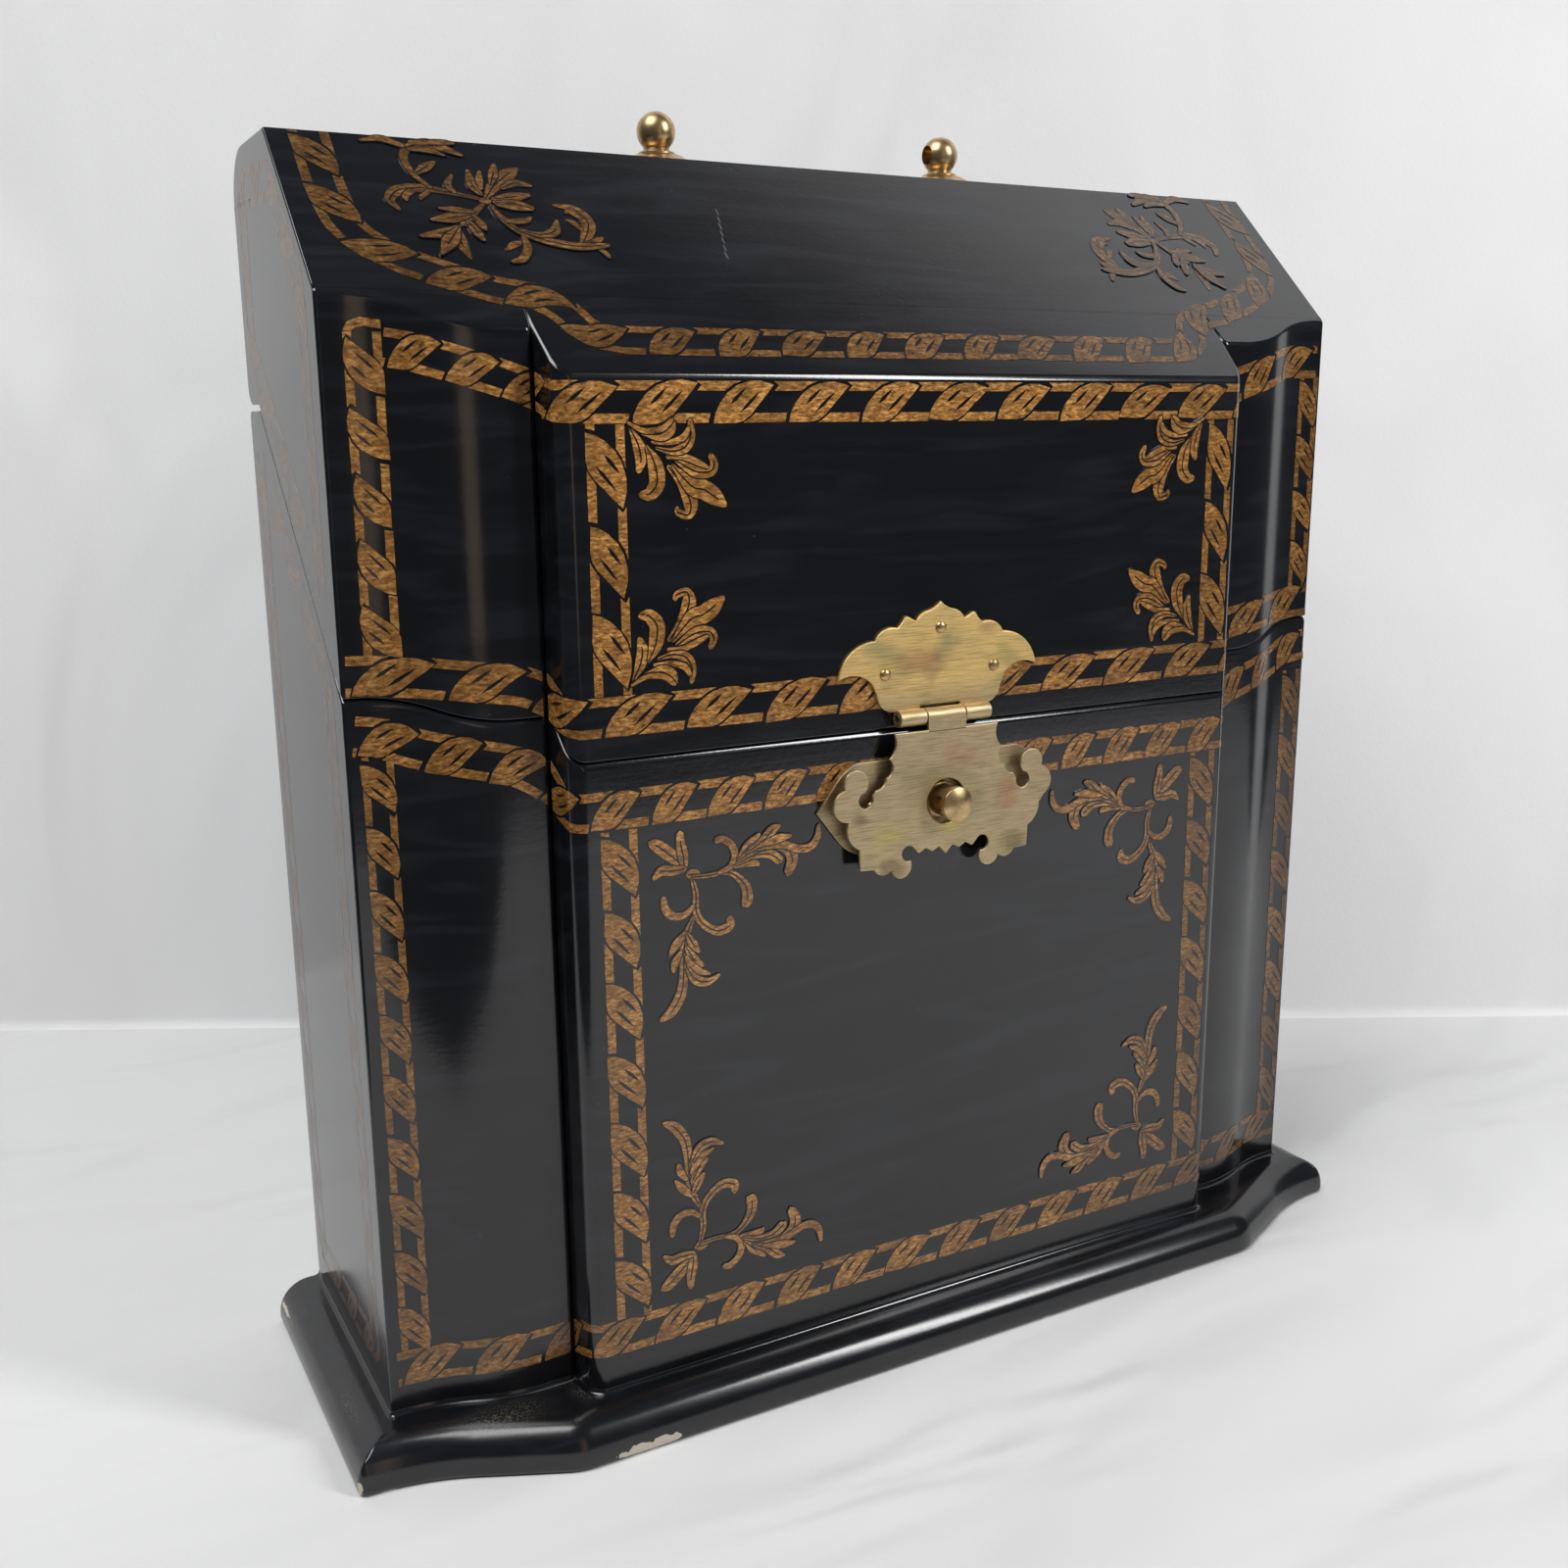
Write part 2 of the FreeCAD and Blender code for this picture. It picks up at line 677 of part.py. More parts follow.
def mirrored(first, right):
    """The corners of the left half, from bottom to top, with the radius that leads to each."""
    corners = [first] + [step[:2] for step in right]
    radii = [step[2] if len(step) > 2 else None for step in right]
    pairs = []
    for at in range(len(corners) - 2, -1, -1):
        radius = radii[at]
        pairs.append((corners[at], -radius if radius is not None else None))
    return pairs


# The fretted edges, as a hand would draw them: a corner, or a corner and the radius of the arc that
# leads to it. They are measured from the hasp's middle line and its barrel's axis, for a lower
# leaf 69.8 wide, and are scaled to the sheet's width.
DRAWN_WIDTH = 69.8
UPPER_LEAF = [(3.7, 27.8, 9), (7.6, 25.1, -5), (10.0, 26.4), (11.3, 26.1, -0.9), (13.5, 23.7, 6),
              (20.2, 20.8, -5.5), (31.4, 11.0, -11.3), (20.8, 9.2, 8.2), (19.5, 6.0),
              (15.0, 2.4, -5), (0, 2.4)]
LOWER_LEAF = [(16.5, -3.3), (17.9, -9.9, 5.3), (18.9, -14.9, 2.9), (21.9, -17.7, 3), (23.1, -19.25),
              (26.2, -21.85, 2.15), (25.3, -17.85, 2.15), (27.2, -11.75, -3.65), (31.4, -16.7, -3.65),
              (30.6, -25.4, -4.4), (27.2, -33.1, -6.4), (26.9, -38.9), (22.6, -39.2),
              (17.3, -40.2, -3.4), (13.7, -42.7, -3.4), (11.1, -38.0, -3.4), (13.75, -35.15, 2.12),
              (9.95, -35.2, 2.12), (8.6, -36.5), (6.4, -35.3), (4.3, -36.5), (2.2, -35.4),
              (0, -37.7)]


def hasp_upper_leaf():
    body = new_body("hasp_upper_leaf", z=m.hasp_axis_height)
    scale = m.hasp_width / DRAWN_WIDTH
    sketch = new_sketch(body, "XZ", "sheet")
    sheet_outline(sketch, (0, 29.9), UPPER_LEAF, scale)
    pad(body, sketch, m.hasp_sheet)
    hasp_barrel(body, m.hasp_pin_radius, outer=True)
    sketch = new_sketch(body, "XZ", "pin_holes")
    for number, (x, z) in enumerate(LEAF_PINS):
        circle(sketch, size(x) * scale, size(z) * scale, m.pin_shank_radius, f"hole_{number}")
    pocket(body, sketch)
    return body


LEAF_PINS = [(0, 23.1), (-17.2, 11.8), (17.2, 11.8)]


def hasp_barrel(body, bore, outer):
    """The knuckles of one hasp leaf, the webs that join them to the sheet, and the bore."""
    ends = m.hasp_barrel_half
    middle = m.hasp_middle_half
    reach = Size(2.9)
    lip = Size(3.5)
    foot = -m.hasp_sheet
    front = -m.hasp_axis_out - m.hasp_barrel_radius
    sketch = new_sketch(body, "YZ", "web")
    if outer:
        rectangle(sketch, foot, 0, 0, reach)
    else:
        rectangle(sketch, front, -lip, front + m.hasp_sheet, 0)
    pad(body, sketch, (ends if outer else middle) * 2, side="Symmetric")
    sketch = new_sketch(body, "YZ", "barrel")
    circle(sketch, -m.hasp_axis_out, 0, m.hasp_barrel_radius)
    pad(body, sketch, (ends if outer else middle) * 2, side="Symmetric")
    sketch = new_sketch(body, "YZ", "bore")
    circle(sketch, -m.hasp_axis_out, 0, bore)
    pocket(body, sketch)
    if outer:
        sketch = new_sketch(body, "XZ", "middle_gap")
        gap = middle + m.knuckle_gap
        rectangle(sketch, -gap, -m.hasp_barrel_radius - 1, gap, m.hasp_barrel_radius + 0.1)
        pocket(body, sketch)


def hasp_lower_leaf():
    body = new_body("hasp_lower_leaf", z=m.hasp_axis_height)
    scale = m.hasp_width / DRAWN_WIDTH
    back_of_sheet = m.hasp_axis_out + m.hasp_barrel_radius - m.hasp_sheet
    sketch = new_sketch(body, "XZ", "sheet", offset=back_of_sheet)
    sheet_outline(sketch, (0, -3.3), LOWER_LEAF, scale)
    pad(body, sketch, m.hasp_sheet)
    hasp_barrel(body, m.hasp_pin_radius + m.pin_play, outer=False)
    sketch = new_sketch(body, "XZ", "post_hole")
    circle(sketch, 0, -m.post_drop, m.hasp_hole_radius)
    pocket(body, sketch)
    return body


def catch_plate():
    body = new_body("catch_plate", z=post_height)
    tip = m.plate_half_width
    top = m.plate_half_height
    shoulder = tip * 0.68
    bend = (tip * 0.835, top * 0.66)
    sketch = new_sketch(body, "XZ", "sheet")
    outline(sketch, (-shoulder, top),
            [(shoulder, top), bend + (m.plate_half_height * -1.1,), (tip, 0), (bend[0], -bend[1]),
             (shoulder, -top, m.plate_half_height * -1.1), (-shoulder, -top),
             (-bend[0], -bend[1], m.plate_half_height * -1.1), (-tip, 0), (-bend[0], bend[1]),
             (-shoulder, top, m.plate_half_height * -1.1)])
    pad(body, sketch, m.plate_sheet)
    sketch = new_sketch(body, "XZ", "holes")
    circle(sketch, 0, 0, m.stud_radius + m.stud_play, "stud")
    for hand in (-1, 1):
        circle(sketch, PLATE_PIN * hand, 0, m.pin_shank_radius, "left" if hand < 0 else "right")
    pocket(body, sketch)
    return body


PLATE_PIN = 21


def catch_post():
    """A turned post: a stud through the front, a plain drum with a padlock hole and a domed end."""
    drum = m.post_radius
    head = m.post_head_radius
    rim = -(m.post_reach - 2.2)
    end = -m.post_reach
    depth = m.post_reach + rim
    radius = (head * head + depth * depth) / (depth * 2)
    inside = m.front_thickness + m.nut_height + 1.5
    body = turned_piece("catch_post", "XY", (Size(0), inside),
                        [(0, end), (head, rim, radius), (head, rim + 0.8), (drum, rim + 1.2),
                         (drum, -m.plate_sheet), (m.stud_radius, -m.plate_sheet), (m.stud_radius, inside)],
                        z=post_height)
    sketch = new_sketch(body, "YZ", "padlock_hole")
    circle(sketch, -m.post_eye_out, 0, m.post_eye_radius)
    pocket(body, sketch)
    return body


def hex_nut(label, role, offset, backwards, x=0, y=0, z=0):
    body = new_body(label, x, y, z)
    sketch = new_sketch(body, role, "flats", offset=offset)
    corner = m.nut_flat / math.sqrt(3)
    points = [(corner * math.cos(math.radians(60 * turn)), corner * math.sin(math.radians(60 * turn)))
              for turn in range(6)]
    outline(sketch, points[0], points[1:])
    circle(sketch, 0, 0, m.stud_radius, "thread")
    pad(body, sketch, m.nut_height, backwards=backwards)
    return body


def ball_post(label, hand):
    """A ball on a short waisted neck, with a blind hole that faces the other post."""
    ball = m.ball_radius
    waist = Size(3.8)
    collar = m.rosette_height
    under = m.top_thickness + m.nut_height + 1.5
    neck_height = m.ball_height - Size(math.sqrt(ball.value ** 2 - waist.value ** 2))
    body = turned_piece(label, "XZ", (Size(0), -under),
                        [(m.stud_radius, -under), (m.stud_radius, collar), (ball * 0.97, collar),
                         (ball * 0.97, collar + 0.5), (waist, neck_height, -1.6),
                         (ball, m.ball_height, ball), (0, m.ball_height + ball, ball)],
                        x=m.ball_at * hand, y=m.ball_depth, z=m.case_height)
    sketch = new_sketch(body, "YZ", "bail_hole")
    circle(sketch, 0, m.ball_height, m.ball_bore_radius)
    pocket(body, sketch, ball + 1, side="One side", backwards=hand < 0)
    return body


def rosette(label, hand):
    """A low domed disc with a stepped rim."""
    top = m.rosette_height
    hole = m.stud_radius + m.stud_play
    rim = m.rosette_radius
    return turned_piece(label, "XZ", (hole, 0),
                        [(rim, 0), (rim, 0.7), (rim * 0.86, 1.0), (rim * 0.6, top, 9), (hole, top)],
                        x=m.ball_at * hand, y=m.ball_depth, z=m.case_height)


def straight_pin(label, x, y, z, radius, length):
    """A hinge pin along X."""
    body = new_body(label, x, y, z)
    sketch = new_sketch(body, "YZ", "section")
    circle(sketch, 0, 0, radius)
    pad(body, sketch, length, side="Symmetric")
    return body


def build_body():
    nodes = [plinth()]
    back = back_board("body_back", Size(0), m.body_back_top, top_round=m.body_back_round)
    hinge_seats(back, m.body_back_top, upwards=False)
    block = front_block("body_front_block", saw_off_lid)
    ease_cut(block, body_cut)
    hole_through_front(block, post_height, m.stud_radius + m.stud_play)
    plate_pins = [(PLATE_PIN * hand, post_height) for hand in (-1, 1)]
    pin_holes(block, plate_pins)
    nodes += [back, body_side("body_left_side", -1), body_side("body_right_side", 1), block]
    for name, hand in (("left", -1), ("right", 1)):
        piece = wing(f"body_{name}_wing", hand, saw_off_lid)
        ease_cut(piece, body_cut)
        nodes.append(piece)
    nodes += [divider("front_divider", m.front_divider_at), divider("rear_divider", m.rear_divider_at)]
    nodes += [catch_plate(), catch_post(),
              hex_nut("catch_post_nut", "XZ", -m.front_thickness, True, z=post_height),
              group("catch_plate_pins",
                    [round_pin(f"catch_plate_pin_{number}", x, z, m.plate_sheet)
                     for number, (x, z) in enumerate(plate_pins, start=1)])]
    for name, hand in (("left", -1), ("right", 1)):
        nodes.append(hinge_leaf(f"{name}_hinge_body_leaf", hand, on_lid=False))
        nodes.append(straight_pin(f"{name}_hinge_pin", m.hinge_at * hand, barrel_out,
                                  m.hinge_axis_height, m.hinge_pin_radius, m.hinge_length))
    nodes.append(hinge_screws("body_hinge_screws", m.body_back_top, down=True))
    return nodes


def build_lid():
    back = back_board("lid_back", m.lid_back_foot, top_underside, foot_round=m.lid_back_round)
    hinge_seats(back, m.lid_back_foot, upwards=True)
    scale = m.hasp_width / DRAWN_WIDTH
    leaf_pins = [(size(x) * scale, m.hasp_axis_height + size(z) * scale) for x, z in LEAF_PINS]
    block = front_block("lid_front_block", saw_off_body)
    pin_holes(block, leaf_pins)
    nodes = [top_board(), slope_panel(), back, lid_side("lid_left_side", -1),
             lid_side("lid_right_side", 1), block,
             wing("lid_left_wing", -1, saw_off_body), wing("lid_right_wing", 1, saw_off_body)]
    for name, hand in (("left", -1), ("right", 1)):
        nodes.append(hinge_leaf(f"{name}_hinge_lid_leaf", hand, on_lid=True))
    nodes.append(hinge_screws("lid_hinge_screws", m.lid_back_foot, down=False))
    nodes += [hasp_upper_leaf(),
              group("hasp_leaf_pins",
                    [round_pin(f"hasp_leaf_pin_{number}", x, z, m.hasp_sheet)
                     for number, (x, z) in enumerate(leaf_pins, start=1)]),
              straight_pin("hasp_hinge_pin", 0, -m.hasp_axis_out, m.hasp_axis_height, m.hasp_pin_radius,
                           m.hasp_barrel_half * 2)]
    for name, hand in (("left", -1), ("right", 1)):
        nodes.append(ball_post(f"{name}_ball_post", hand))
        nodes.append(rosette(f"{name}_rosette", hand))
        nodes.append(hex_nut(f"{name}_ball_post_nut", "XY", 0, True, x=m.ball_at * hand,
                             y=m.ball_depth, z=top_underside))
    return nodes


def check_and_write(nodes):
    """Stops on any failed object or bad shape, then writes one file for each node."""
    doc.recompute()
    for thing in doc.Objects:
        if "Invalid" in thing.State or "Error" in thing.State:
            raise RuntimeError(f"{thing.Name} failed: {thing.State}")
    os.makedirs("parts", exist_ok=True)
    whole = FreeCAD.BoundBox()
    for node in nodes:
        if node.Shape.isNull() or not node.Shape.isValid():
            raise RuntimeError(f"{node.Label} has no valid shape")
        whole.add(node.Shape.BoundBox)
        node.Shape.exportStep(os.path.join("parts", f"{node.Label}.step"))
    print(f"{len(nodes)} nodes, box {whole}")


check_and_write(build_body() + build_lid() + [hasp_lower_leaf()])
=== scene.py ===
import math
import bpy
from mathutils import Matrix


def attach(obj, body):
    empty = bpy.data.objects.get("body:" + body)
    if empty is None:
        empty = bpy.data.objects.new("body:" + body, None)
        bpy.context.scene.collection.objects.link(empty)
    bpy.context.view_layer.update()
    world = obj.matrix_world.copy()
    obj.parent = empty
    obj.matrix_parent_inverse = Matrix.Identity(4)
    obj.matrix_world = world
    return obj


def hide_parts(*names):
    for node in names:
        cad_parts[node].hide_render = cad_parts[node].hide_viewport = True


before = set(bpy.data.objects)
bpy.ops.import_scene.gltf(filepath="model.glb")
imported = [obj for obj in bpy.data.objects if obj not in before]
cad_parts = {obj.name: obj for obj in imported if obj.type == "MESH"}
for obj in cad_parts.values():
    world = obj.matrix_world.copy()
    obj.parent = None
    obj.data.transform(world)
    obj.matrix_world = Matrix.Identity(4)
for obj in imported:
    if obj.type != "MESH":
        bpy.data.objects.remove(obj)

from types import SimpleNamespace

import bmesh
import bpy
from bpy.props import FloatProperty, FloatVectorProperty, IntProperty, PointerProperty
from mathutils import Matrix, Vector
from mathutils.geometry import tessellate_polygon

bl_info = {
    "name": "Lacquered letter box",
    "version": (1, 0, 0),
    "blender": (4, 5, 0),
    "location": "View3D > Sidebar > Letter box",
    "description": "Dresses the wooden letter box: lacquered boards, painted borders and brass fittings",
    "category": "Object",
}

# Every length below is in millimetres, counted from the middle of the block's front, at the top of
# the plinth. These two place that point in the frame.
FRONT_FACE = -45.6
PLINTH_TOP = 12.0
HANDS = (("left", -1), ("right", 1))
SAME = 0.01  # Places closer than this are one place.


def to_frame(point):
    x, y, z = point
    return Vector((x, y + FRONT_FACE, z + PLINTH_TOP)) / 1000


def linear(colour):
    """A colour written as sRGB hex, as Blender's linear numbers."""
    levels = [int(colour[at:at + 2], 16) / 255 for at in (1, 3, 5)]
    return tuple(level / 12.92 if level <= 0.04045 else ((level + 0.055) / 1.055) ** 2.4
                 for level in levels)


# Settings


def length(name, millimetres, description):
    return FloatProperty(name=name, description=description, default=millimetres / 1000, min=0.0,
                         unit="LENGTH", subtype="DISTANCE", precision=5)


def share(name, value, description):
    return FloatProperty(name=name, description=description, default=value, min=0.0, max=1.0,
                         subtype="FACTOR")


def colour(name, value, description):
    return FloatVectorProperty(name=name, description=description, default=linear(value), min=0.0,
                               max=1.0, size=3, subtype="COLOR")


class CaseSizes(bpy.types.PropertyGroup):
    width: length("Width", 305, "The case, side to side")
    depth: length("Depth", 98.4, "The case, block front to back")
    height: length("Height", 314.5, "Plinth top to flat top")
    side_board: length("Side boards", 10, "Thickness of the side boards")
    back_board: length("Back boards", 12.8, "Thickness of the back boards")
    front_board: length("Front", 24, "Block front to the inner face of the front")
    top_board: length("Top board", 14, "Thickness of the top board and, upright, of the sloping panel")
    block_half: length("Block", 105.3, "Half width of the middle block at its foot")
    block_draft: length("Cheek lean", 0.8, "How far the block's cheek leans in")
    wing_step: length("Wing step", 10.4, "How far the wings stand behind the block's front")
    block_round: length("Block rounding", 4.5, "Rounding of the block's upright edges")
    lip: length("Wing lip", 1.6, "Rounding of the wing beside the groove")
    ogee_start: length("Ogee start", 113.5, "Where the ogee leaves the flat")
    ogee_run: length("Ogee run", 36.5, "Width of the ogee")
    ogee_rise: length("Ogee rise", 7.3, "Depth of the ogee")
    edge: length("Outer edge", 0.8, "Rounding of the upright edges at the sides")
    slope_foot: length("Slope foot", 257.3, "Height of the slope's front edge")
    slope_run: length("Slope run", 57.6, "Block front to the flat top")
    saw_cut: length("Saw cut", 166.9, "Height of the saw cut at the front")
    kerf: length("Kerf", 0.9, "Gap of the saw cut")
    saw_pitch: FloatProperty(name="Saw pitch", description="Rise of the saw cut for each unit back",
                             default=0.979)
    body_back_top: length("Body back top", 250.3, "Level part of the cut, body")
    lid_back_foot: length("Lid back foot", 251.9, "Level part of the cut, lid")
    lid_back_round: length("Lid back rounding", 5, "Rounding of the lid's lower back edge")
    body_back_round: length("Body back rounding", 2, "Rounding of the body's upper back edge")
    plinth_overhang: length("Plinth overhang", 12, "How far the plinth stands out")
    plinth_knee: length("Plinth knee", 112.5, "Half width of the plinth's straight front")
    plinth_waist: length("Plinth waist", 137, "Half width where the plinth's edge flattens")
    plinth_nose: length("Plinth nose", 9, "Rounding of the plinth's upper edge")
    plinth_foot: length("Plinth foot", 1.5, "Rounding of the plinth's lower edge")


class BrassSizes(bpy.types.PropertyGroup):
    sheet: length("Hasp sheet", 1.1, "Thickness of both hasp leaves")
    sheet_edge: length("Filed edge", 0.36, "Rounding of the fretted edges")
    axis_height: length("Hasp axis height", 170.3, "Hasp barrel above the plinth top")
    axis_out: length("Hasp axis out", 2.45, "Hasp barrel in front of the block")
    barrel_radius: length("Hasp barrel", 2.3, "Radius of the hasp barrel")
    barrel_half: length("Barrel half length", 14.4, "Half length of the hasp barrel")
    middle_half: length("Middle knuckle", 6, "Half length of the middle knuckle")
    hole: length("Hasp hole", 6.1, "Radius of the hole over the post")
    post_drop: length("Post drop", 23, "Post below the hasp barrel")
    post: length("Post", 4.3, "Radius of the turned post")
    post_head: length("Post head", 4.7, "Radius of its domed end")
    post_reach: length("Post reach", 11.3, "Its end in front of the block")
    post_eye: length("Post eye", 2.1, "Radius of its padlock hole")
    post_eye_out: length("Post eye out", 6.95, "Padlock hole in front of the block")
    plate: length("Catch plate", 1.0, "Thickness of the catch plate")
    plate_half_width: length("Catch plate width", 37.7, "Half width at the points")
    plate_half_height: length("Catch plate height", 12.2, "Half height")
    pin_head: length("Pin head", 1.65, "Radius of a round-head pin")
    ball_at: length("Ball posts", 46, "From the middle")
    ball_depth: length("Ball depth", 70.4, "Behind the block's front")
    ball: length("Ball", 5.25, "Radius of a ball")
    ball_height: length("Ball height", 8.5, "Ball's middle above the flat top")
    ball_bore: length("Ball bore", 2.65, "Radius of the blind hole for a bail")
    rosette: length("Rosette", 10, "Radius of the disc under a ball post")
    rosette_height: length("Rosette height", 2.7, "Height of that disc")


class PaintSizes(bpy.types.PropertyGroup):
    thickness: length("Paint thickness", 0.1, "How proud the paint stands")
    sink: length("Paint sink", 0.15, "How deep each painted shape reaches into its board")
    lid_pitch: length("Lid leaf spacing", 21, "From leaf to leaf on the lid's long borders")
    body_pitch: length("Body leaf spacing", 16, "From leaf to leaf on the body's long borders")
    upright_pitch: length("Upright leaf spacing", 19.5, "From leaf to leaf on the upright borders")
    slope_pitch: length("Slope leaf spacing", 18, "From leaf to leaf on the slope")
    spread: share("Hand", 0.08, "How much the leaves differ in size")
    seed: IntProperty(name="Seed", description="Seed of the hand-painted differences", default=7)


class Finishes(bpy.types.PropertyGroup):
    lacquer: colour("Lacquer", "#101114", "Satin black lacquer")
    gold: colour("Gold paint", "#C1853F", "Antique gold paint")
    brass: colour("Brass", "#F6D48E", "Brushed sheet brass, yellow parts")
    brass_green: colour("Aged brass", "#B0A67E", "Brushed sheet brass, tarnished parts")
    # The darker copy of the brass on the next line is for the hasp's lower part: painted shade, where it
    # catches less of the light than the upper leaf.
    brass_dull: colour("Dull brass", "#CDB993", "Brushed sheet brass, handled lower leaf")
    brass_yellow: colour("Yellow patches", "#D8C67A", "Sheet brass, rubbed brighter")
    copper: colour("Coppery patches", "#C08A66", "Brushed sheet brass, worn parts")
    turned_brass: colour("Turned brass", "#D2B484", "Balls and post")
    bare_wood: colour("Bare wood", "#C9BFB0", "Where the lacquer is chipped off")
    stain: colour("Brown stains", "#8C7860", "Sheet brass, stained tips")
    inside: colour("Inside wood", "#3A2A1E", "Stained boards inside")
    floor: colour("Floor", "#E4E4E4", "Pale cloth under the box")
    backdrop: colour("Backdrop", "#F3F3F3", "Pale cloth behind the box")


class LetterBoxSettings(bpy.types.PropertyGroup):
    case: PointerProperty(type=CaseSizes)
    brass: PointerProperty(type=BrassSizes)
    paint: PointerProperty(type=PaintSizes)
    finish: PointerProperty(type=Finishes)


def own_properties(group):
    return [prop for prop in group.bl_rna.properties if prop.identifier not in {"rna_type", "name"}]


def sizes(group):
    """A group's settings, with its lengths in millimetres and its colours as plain numbers."""
    values = {}
    for prop in own_properties(group):
        value = getattr(group, prop.identifier)
        if prop.unit == "LENGTH":
            value *= 1000
        values[prop.identifier] = tuple(value) if prop.subtype == "COLOR" else value
    return SimpleNamespace(**values)


def settings():
    return bpy.context.scene.letter_box


# Lines


def traced(start, steps, chord=0.5):
    """A line as points. A step is a point, or a point and the radius of the arc that leads there,
    positive where it turns left."""
    points = [Vector(start)]
    for step in steps:
        here, there = points[-1], Vector(step[:2])
        if len(step) == 3:
            radius = step[2]
            way = there - here
            reach = math.sqrt(max(radius * radius - way.length_squared / 4, 0))
            side = Vector((-way.y, way.x)).normalized()
            centre = (here + there) / 2 + side * math.copysign(reach, radius)
            angle = 2 * math.asin(min(1, way.length / 2 / abs(radius)))
            count = max(3, math.ceil(angle * abs(radius) / chord), math.ceil(math.degrees(angle) / 9))
            arm = here - centre
            for at in range(1, count):
                points.append(centre + Matrix.Rotation(math.copysign(angle, radius) * at / count, 2) @ arm)
        points.append(there)
    return [tuple(point) for point in points]


def mirrored(line):
    return [(-x, y) for x, y in reversed(line)]


def front_line(case, with_groove=True):
    """The right half of the front in plan, from the middle to the side."""
    cheek = case.block_half - case.block_draft
    radius = (case.ogee_run ** 2 + case.ogee_rise ** 2) / (case.ogee_rise * 4)
    step = case.wing_step
    block = traced((0, 0), [(cheek - case.block_round, 0), (cheek, case.block_round, case.block_round),
                            (case.block_half, step)])
    ogee = [(case.ogee_start, step),
            (case.ogee_start + case.ogee_run / 2, step + case.ogee_rise / 2, radius),
            (case.ogee_start + case.ogee_run, step + case.ogee_rise, -radius)]
    half = case.width / 2
    end = step + case.ogee_rise
    corner = [(half - case.edge, end), (half, end + case.edge, case.edge)]
    if with_groove:
        foot = (case.block_half, step + case.lip)
        wing = traced(foot, [(case.block_half + case.lip, step, case.lip)] + ogee + corner, 0.9)
    else:
        wing = traced((case.block_half, step), ogee + [(half, end)], 0.9)[1:]
    return block, wing


def body_cut(case, y):
    return case.saw_cut - case.kerf / 2 + case.saw_pitch * y


def lid_cut(case, y):
    return body_cut(case, y) + case.kerf


def slope(case, y):
    return case.slope_foot + (case.height - case.slope_foot) / case.slope_run * y


# Meshes


def new_object(name, data, material=None):
    piece = bpy.data.objects.new(name, data)
    bpy.context.scene.collection.objects.link(piece)
    if material is not None:
        data.materials.clear()
        data.materials.append(material)
    return piece


def new_mesh(name, points, faces=()):
    mesh = bpy.data.meshes.new(name)
    mesh.from_pydata(points, [], [tuple(face) for face in faces])
    mesh.update()
    return mesh


def new_piece(name, points, faces, material):
    """An object from points in millimetres. Its faces already point outwards."""
    return new_object(name, new_mesh(name, [to_frame(point) for point in points], faces), material)


def settle(piece, body, nodes=(), slot=None):
    """The piece rides on its body and stands for these CAD nodes. The slot is not used."""
    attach(piece, body)
    if nodes:
        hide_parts(*nodes)
    return piece


def evaluated_mesh(piece):
    """A mesh of the piece with its modifiers in it."""
    bpy.context.view_layer.update()
    graph = bpy.context.evaluated_depsgraph_get()
    return bpy.data.meshes.new_from_object(piece.evaluated_get(graph), preserve_all_data_layers=True,
                                           depsgraph=graph)


def plain_mesh(piece):
    """The piece's modifiers made part of its mesh."""
    mesh = evaluated_mesh(piece)
    piece.modifiers.clear()
    piece.data = mesh
    return piece


def drop(*pieces):
    for piece in pieces:
        bpy.data.objects.remove(piece)


def smooth(piece, angle=28):
    """Smooth faces, parted at the edges that turn by more than this."""
    mesh = piece.data
    mesh.polygons.foreach_set("use_smooth", [True] * len(mesh.polygons))
    mesh.set_sharp_from_angle(angle=math.radians(angle))
    return piece


def weigh_normals(piece):
    """Flat faces stay flat beside their rounded edges."""
    weighted = piece.modifiers.new("flat_faces", "WEIGHTED_NORMAL")
    weighted.keep_sharp = True
    weighted.weight = 60
    return piece


def round_over(piece, softness, segments=4):
    """Rounds the edges for which softness(start, end), in millimetres, gives a setback."""
    mesh = piece.data
    places = [vert.co * 1000 - Vector((0, FRONT_FACE, PLINTH_TOP)) for vert in mesh.vertices]
    setbacks = [softness(*(places[at] for at in edge.vertices)) for edge in mesh.edges]
    widest = max(setbacks)
    smooth(piece)
    if widest <= 0:
        return weigh_normals(piece)
    weights = mesh.attributes.new("bevel_weight_edge", "FLOAT", "EDGE")
    weights.data.foreach_set("value", [setback / widest for setback in setbacks])
    sharp = mesh.attributes.get("sharp_edge")
    if sharp is not None:
        for at, setback in enumerate(setbacks):
            if setback > 0:
                sharp.data[at].value = False
    bevel = piece.modifiers.new("eased_edges", "BEVEL")
    bevel.limit_method = "WEIGHT"
    bevel.width = widest / 1000
    bevel.segments = segments
    bevel.use_clamp_overlap = False
    bevel.miter_outer = "MITER_ARC"
    return weigh_normals(piece)


def loft_faces(count):
    """The faces between two outlines of this many points, the second of which lies over the first."""
    faces = [range(count - 1, -1, -1), range(count, 2 * count)]
    return faces + [(at, (at + 1) % count, (at + 1) % count + count, at + count) for at in range(count)]


def prism(name, plan, bottom, top, material, softness):
    """A board: a plan walked with its inside on the left, between two planes."""
    points = [(x, y, level(y)) for level in (bottom, top) for x, y in plan]
    return round_over(new_piece(name, points, loft_faces(len(plan)), material), softness)


def bar(name, section, low, high, material):
    """A piece from low to high along X. Its section in (y, z) is walked with its inside on the left."""
    points = [(x, y, z) for x in (low, high) for y, z in section]
    return new_piece(name, points, loft_faces(len(section)), material)


